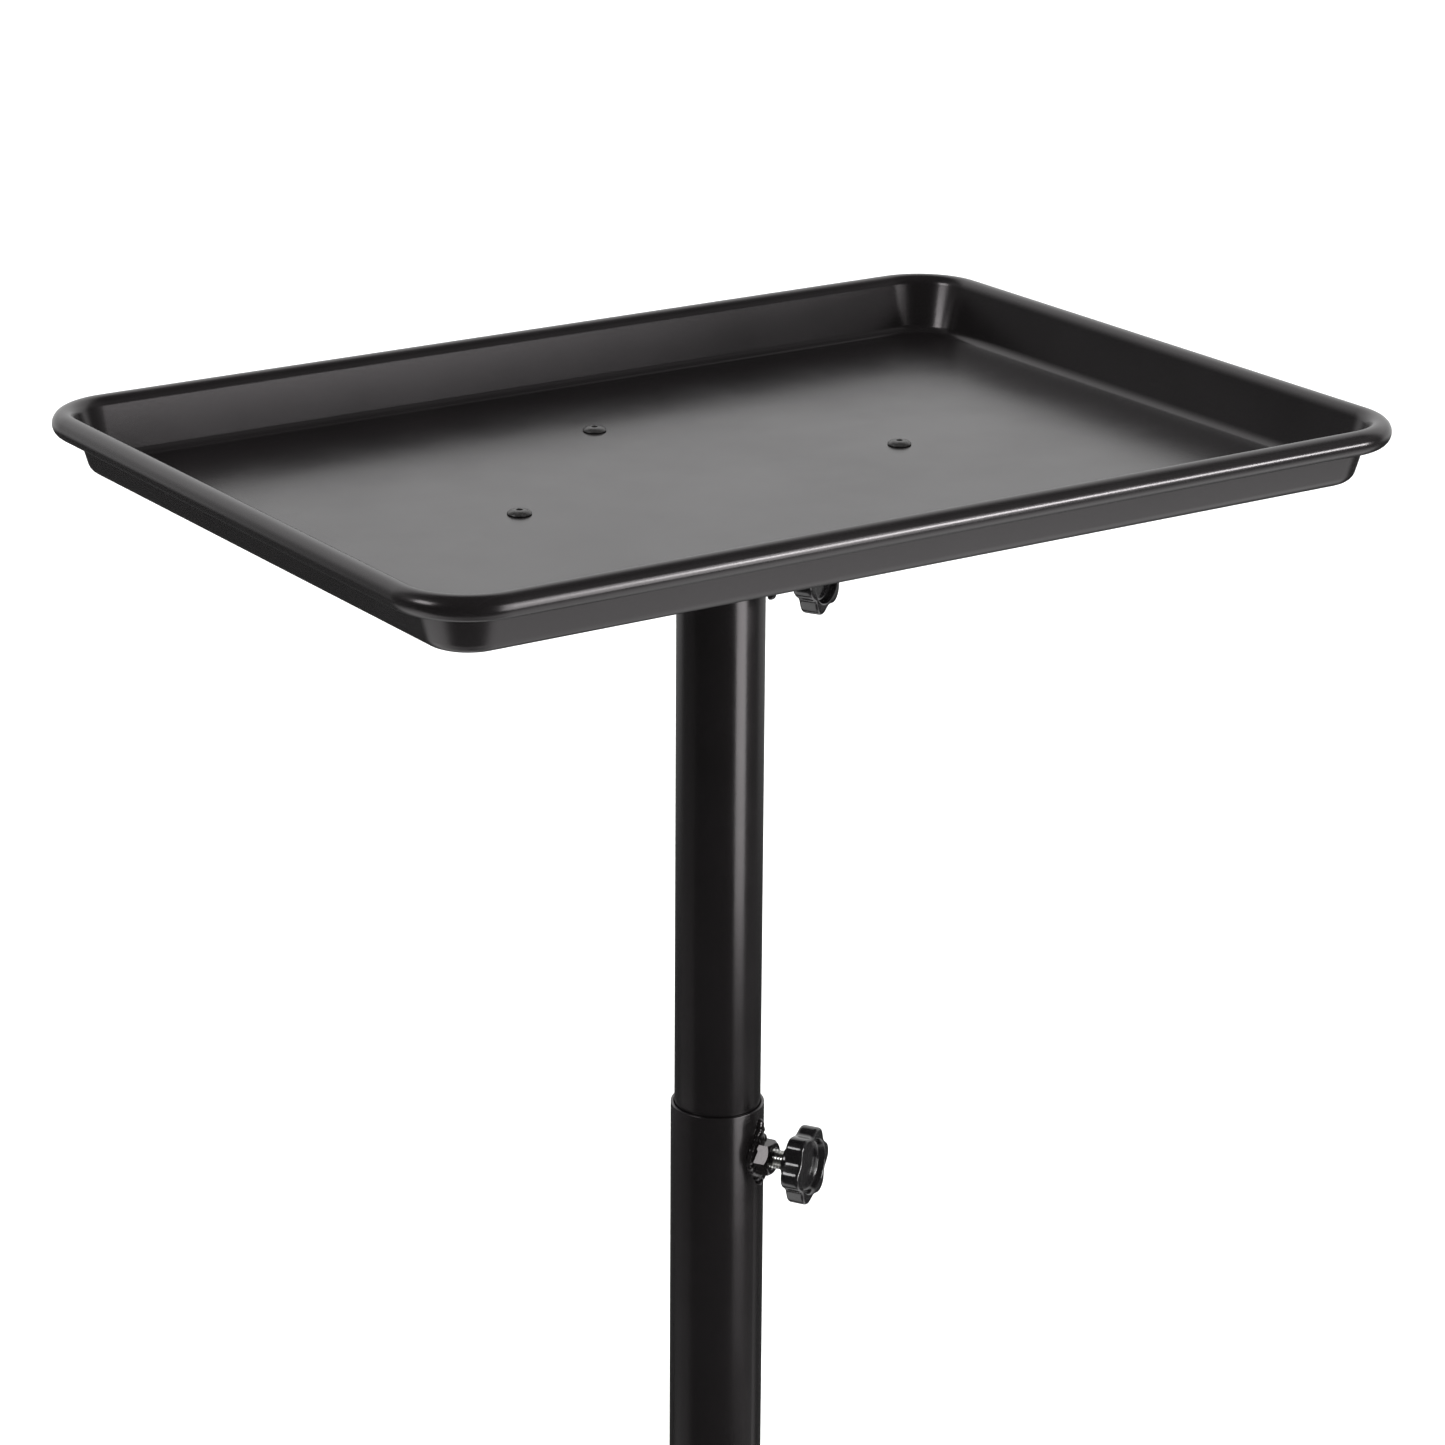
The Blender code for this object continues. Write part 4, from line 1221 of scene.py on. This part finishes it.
class CART_OT_casters(bpy.types.Operator):
    """Makes the four twin-wheel casters"""

    bl_idname = "cart.casters"
    bl_label = "Casters"

    def execute(self, context):
        sizes = settings().caster
        low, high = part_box("caster_rear_right_wheel_left")
        radius = (high.z - low.z) / 2
        hood, wheel, stem = caster_hood(sizes), caster_wheel(sizes, radius), swivel_stem()
        rim = radius - sizes.tread + 0.0001
        for face in wheel.faces:
            centre = face.calc_center_median()
            face.material_index = int(hypot(centre.x, centre.y) > rim)
        for place in CORNERS:
            name, seat = "caster_" + place, caster_seat(place)
            piece(name + "_hood", moved(hood, seat), name, finish(moulded_black),
                  [name + "_housing"])
            piece(name + "_swivel_stem", moved(stem, seat), "root", finish(zinc_steel),
                  [name + "_stem"])
            for side, quarter in (("right", pi / 2), ("left", -pi / 2)):
                shape = moved(wheel, seat @ axle_seat(quarter))
                node = name + "_wheel_" + side
                tyre = piece(name + "_disc_" + side, shape, node, finish(moulded_black),
                             [node])
                tyre.data.materials.append(finish(wheel_tread))
            refinish(name + "_axle", finish(zinc_steel))
            refinish(name + "_nut", finish(zinc_steel))
        for shape in (hood, wheel, stem):
            shape.free()
        return {"FINISHED"}


# ---- stage --------------------------------------------------------------------------------
class CART_OT_stage(bpy.types.Operator):
    """Lays the floor and sets the lights and the camera"""

    bl_idname = "cart.stage"
    bl_label = "Stage"

    def execute(self, context):
        sizes = settings().stage
        scene = context.scene
        scene.view_settings.view_transform = "Standard"
        bm = bmesh.new()
        bmesh.ops.create_grid(bm, x_segments=8, y_segments=8, size=sizes.floor_reach)
        floor = linked("studio_floor", bm)
        floor.data.materials.append(studio_floor())
        floor.visible_glossy = False
        scene.world = self.surround(sizes)
        self.soft_box(
            "key_box", sizes.key, sizes.key_azimuth, sizes.key_distance, sizes.key_width,
            sizes.key_height, sizes.key_height / 2,
        )
        self.soft_box(
            "side_box", sizes.side, sizes.side_azimuth, sizes.key_distance, sizes.side_width,
            sizes.side_width, sizes.side_lift,
        )
        self.soft_box(
            "rim_strip", sizes.strip, sizes.strip_azimuth, sizes.key_distance - 0.1,
            sizes.strip_width, sizes.strip_height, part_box("tray")[1].z,
        )
        self.overhead(sizes.overhead)
        eye = bpy.data.cameras.new("cart_camera")
        eye.lens = sizes.lens
        eye.sensor_width = 36.0
        eye.clip_start, eye.clip_end = 0.05, 200.0
        camera = bpy.data.objects.new("cart_camera", eye)
        camera.matrix_world = (
            Matrix.Translation(sizes.eye)
            @ Matrix.Rotation(sizes.heading, 4, "Z")
            @ Matrix.Rotation(pi / 2 - sizes.tilt, 4, "X")
            @ Matrix.Rotation(sizes.roll, 4, "Z")
        )
        scene.collection.objects.link(camera)
        scene.camera = camera
        return {"FINISHED"}

    def surround(self, sizes):
        """A studio with bright walls, a dark horizon and a dark side behind the camera."""
        world = bpy.data.worlds.new("studio_surround")
        world.use_nodes = True
        wiring = Wiring(world.node_tree, "Generated")
        nodes, links, way = wiring.nodes, wiring.links, wiring.coordinates
        height = nodes.new("ShaderNodeSeparateXYZ")
        links.new(way, height.inputs["Vector"])
        place = wiring.spread(height.outputs["Z"], 0, 1, -1, 1)
        facing = nodes.new("ShaderNodeVectorMath")
        facing.operation = "DOT_PRODUCT"
        facing.inputs[1].default_value = Vector((sizes.eye[0], sizes.eye[1], 0)).normalized()
        links.new(way, facing.inputs[0])
        walls = {side: self.wall(wiring, place, stops) for side, stops in SURROUND.items()}
        front = wiring.spread(facing.outputs["Value"], 0, 1, *FRONT_BLEND)
        back = wiring.spread(facing.outputs["Value"], 0, 1, *BACK_BLEND)
        shown = wiring.mix(front, wiring.mix(back, walls["side"], walls["back"]), walls["front"])
        backdrop = nodes["Background"]
        links.new(shown, backdrop.inputs["Color"])
        backdrop.inputs["Strength"].default_value = sizes.surround
        return world

    def wall(self, wiring, place, stops):
        """One side's brightness at each height. place runs from 0 below to 1 above."""
        strengths = [((sin(radians(a)) + 1) / 2, tone) for a, tone in stops]
        ramp = wiring.nodes.new("ShaderNodeValToRGB")
        elements = ramp.color_ramp.elements
        for element, (at, tone) in zip(list(elements), (strengths[0], strengths[-1])):
            element.position = at
            element.color = (tone, tone, tone, 1)
        for at, tone in strengths[1:-1]:
            elements.new(at).color = (tone, tone, tone, 1)
        wiring.links.new(place, ramp.inputs["Fac"])
        return ramp.outputs["Color"]

    def soft_box(self, name, power, azimuth, distance, width, height, middle):
        """A rectangular light that faces the post."""
        light = bpy.data.lights.new(name, "AREA")
        light.shape = "RECTANGLE"
        light.size, light.size_y = width, height
        light.energy = power
        way = Vector((cos(azimuth), sin(azimuth), 0))
        lamp = bpy.data.objects.new(name, light)
        lamp.location = way * distance + Vector((0, 0, middle))
        lamp.rotation_euler = way.to_track_quat("Z", "Y").to_euler()
        lamp.visible_camera = False
        bpy.context.scene.collection.objects.link(lamp)

    def overhead(self, strength):
        """A very wide light from above that whitens the floor and isn't mirrored."""
        light = bpy.data.lights.new("overhead", "SUN")
        light.energy = strength
        light.angle = radians(120)
        lamp = bpy.data.objects.new("overhead", light)
        lamp.location.z = 3
        lamp.visible_glossy = False
        bpy.context.scene.collection.objects.link(lamp)


# ---- add-on -------------------------------------------------------------------------------
OPERATORS = (
    CART_OT_tray, CART_OT_bracket, CART_OT_post, CART_OT_clamps, CART_OT_base, CART_OT_casters,
    CART_OT_stage,
)


class CART_PT_panel(bpy.types.Panel):
    bl_label = "Instrument cart"
    bl_space_type = "VIEW_3D"
    bl_region_type = "UI"
    bl_category = "Cart"

    def draw(self, context):
        for operator in OPERATORS:
            self.layout.operator(operator.bl_idname)
        for group in CartSettings.__annotations__:
            box = self.layout.box()
            box.label(text=group.capitalize())
            sizes = getattr(context.scene.instrument_cart, group)
            for name in type(sizes).__annotations__:
                box.prop(sizes, name)


CLASSES = (
    TraySizes, PostSizes, ClampSizes, BaseSizes, CasterSizes, Finishes, StageSizes, CartSettings,
    *OPERATORS, CART_PT_panel,
)


def register():
    for cls in CLASSES:
        bpy.utils.register_class(cls)
    bpy.types.Scene.instrument_cart = PointerProperty(type=CartSettings)


def unregister():
    del bpy.types.Scene.instrument_cart
    for cls in reversed(CLASSES):
        bpy.utils.unregister_class(cls)


def main():
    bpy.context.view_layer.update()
    register()
    bpy.ops.cart.tray()
    bpy.ops.cart.bracket()
    bpy.ops.cart.post()
    bpy.ops.cart.clamps()
    bpy.ops.cart.base()
    bpy.ops.cart.casters()
    bpy.ops.cart.stage()


if __name__ == "__main__":
    main()
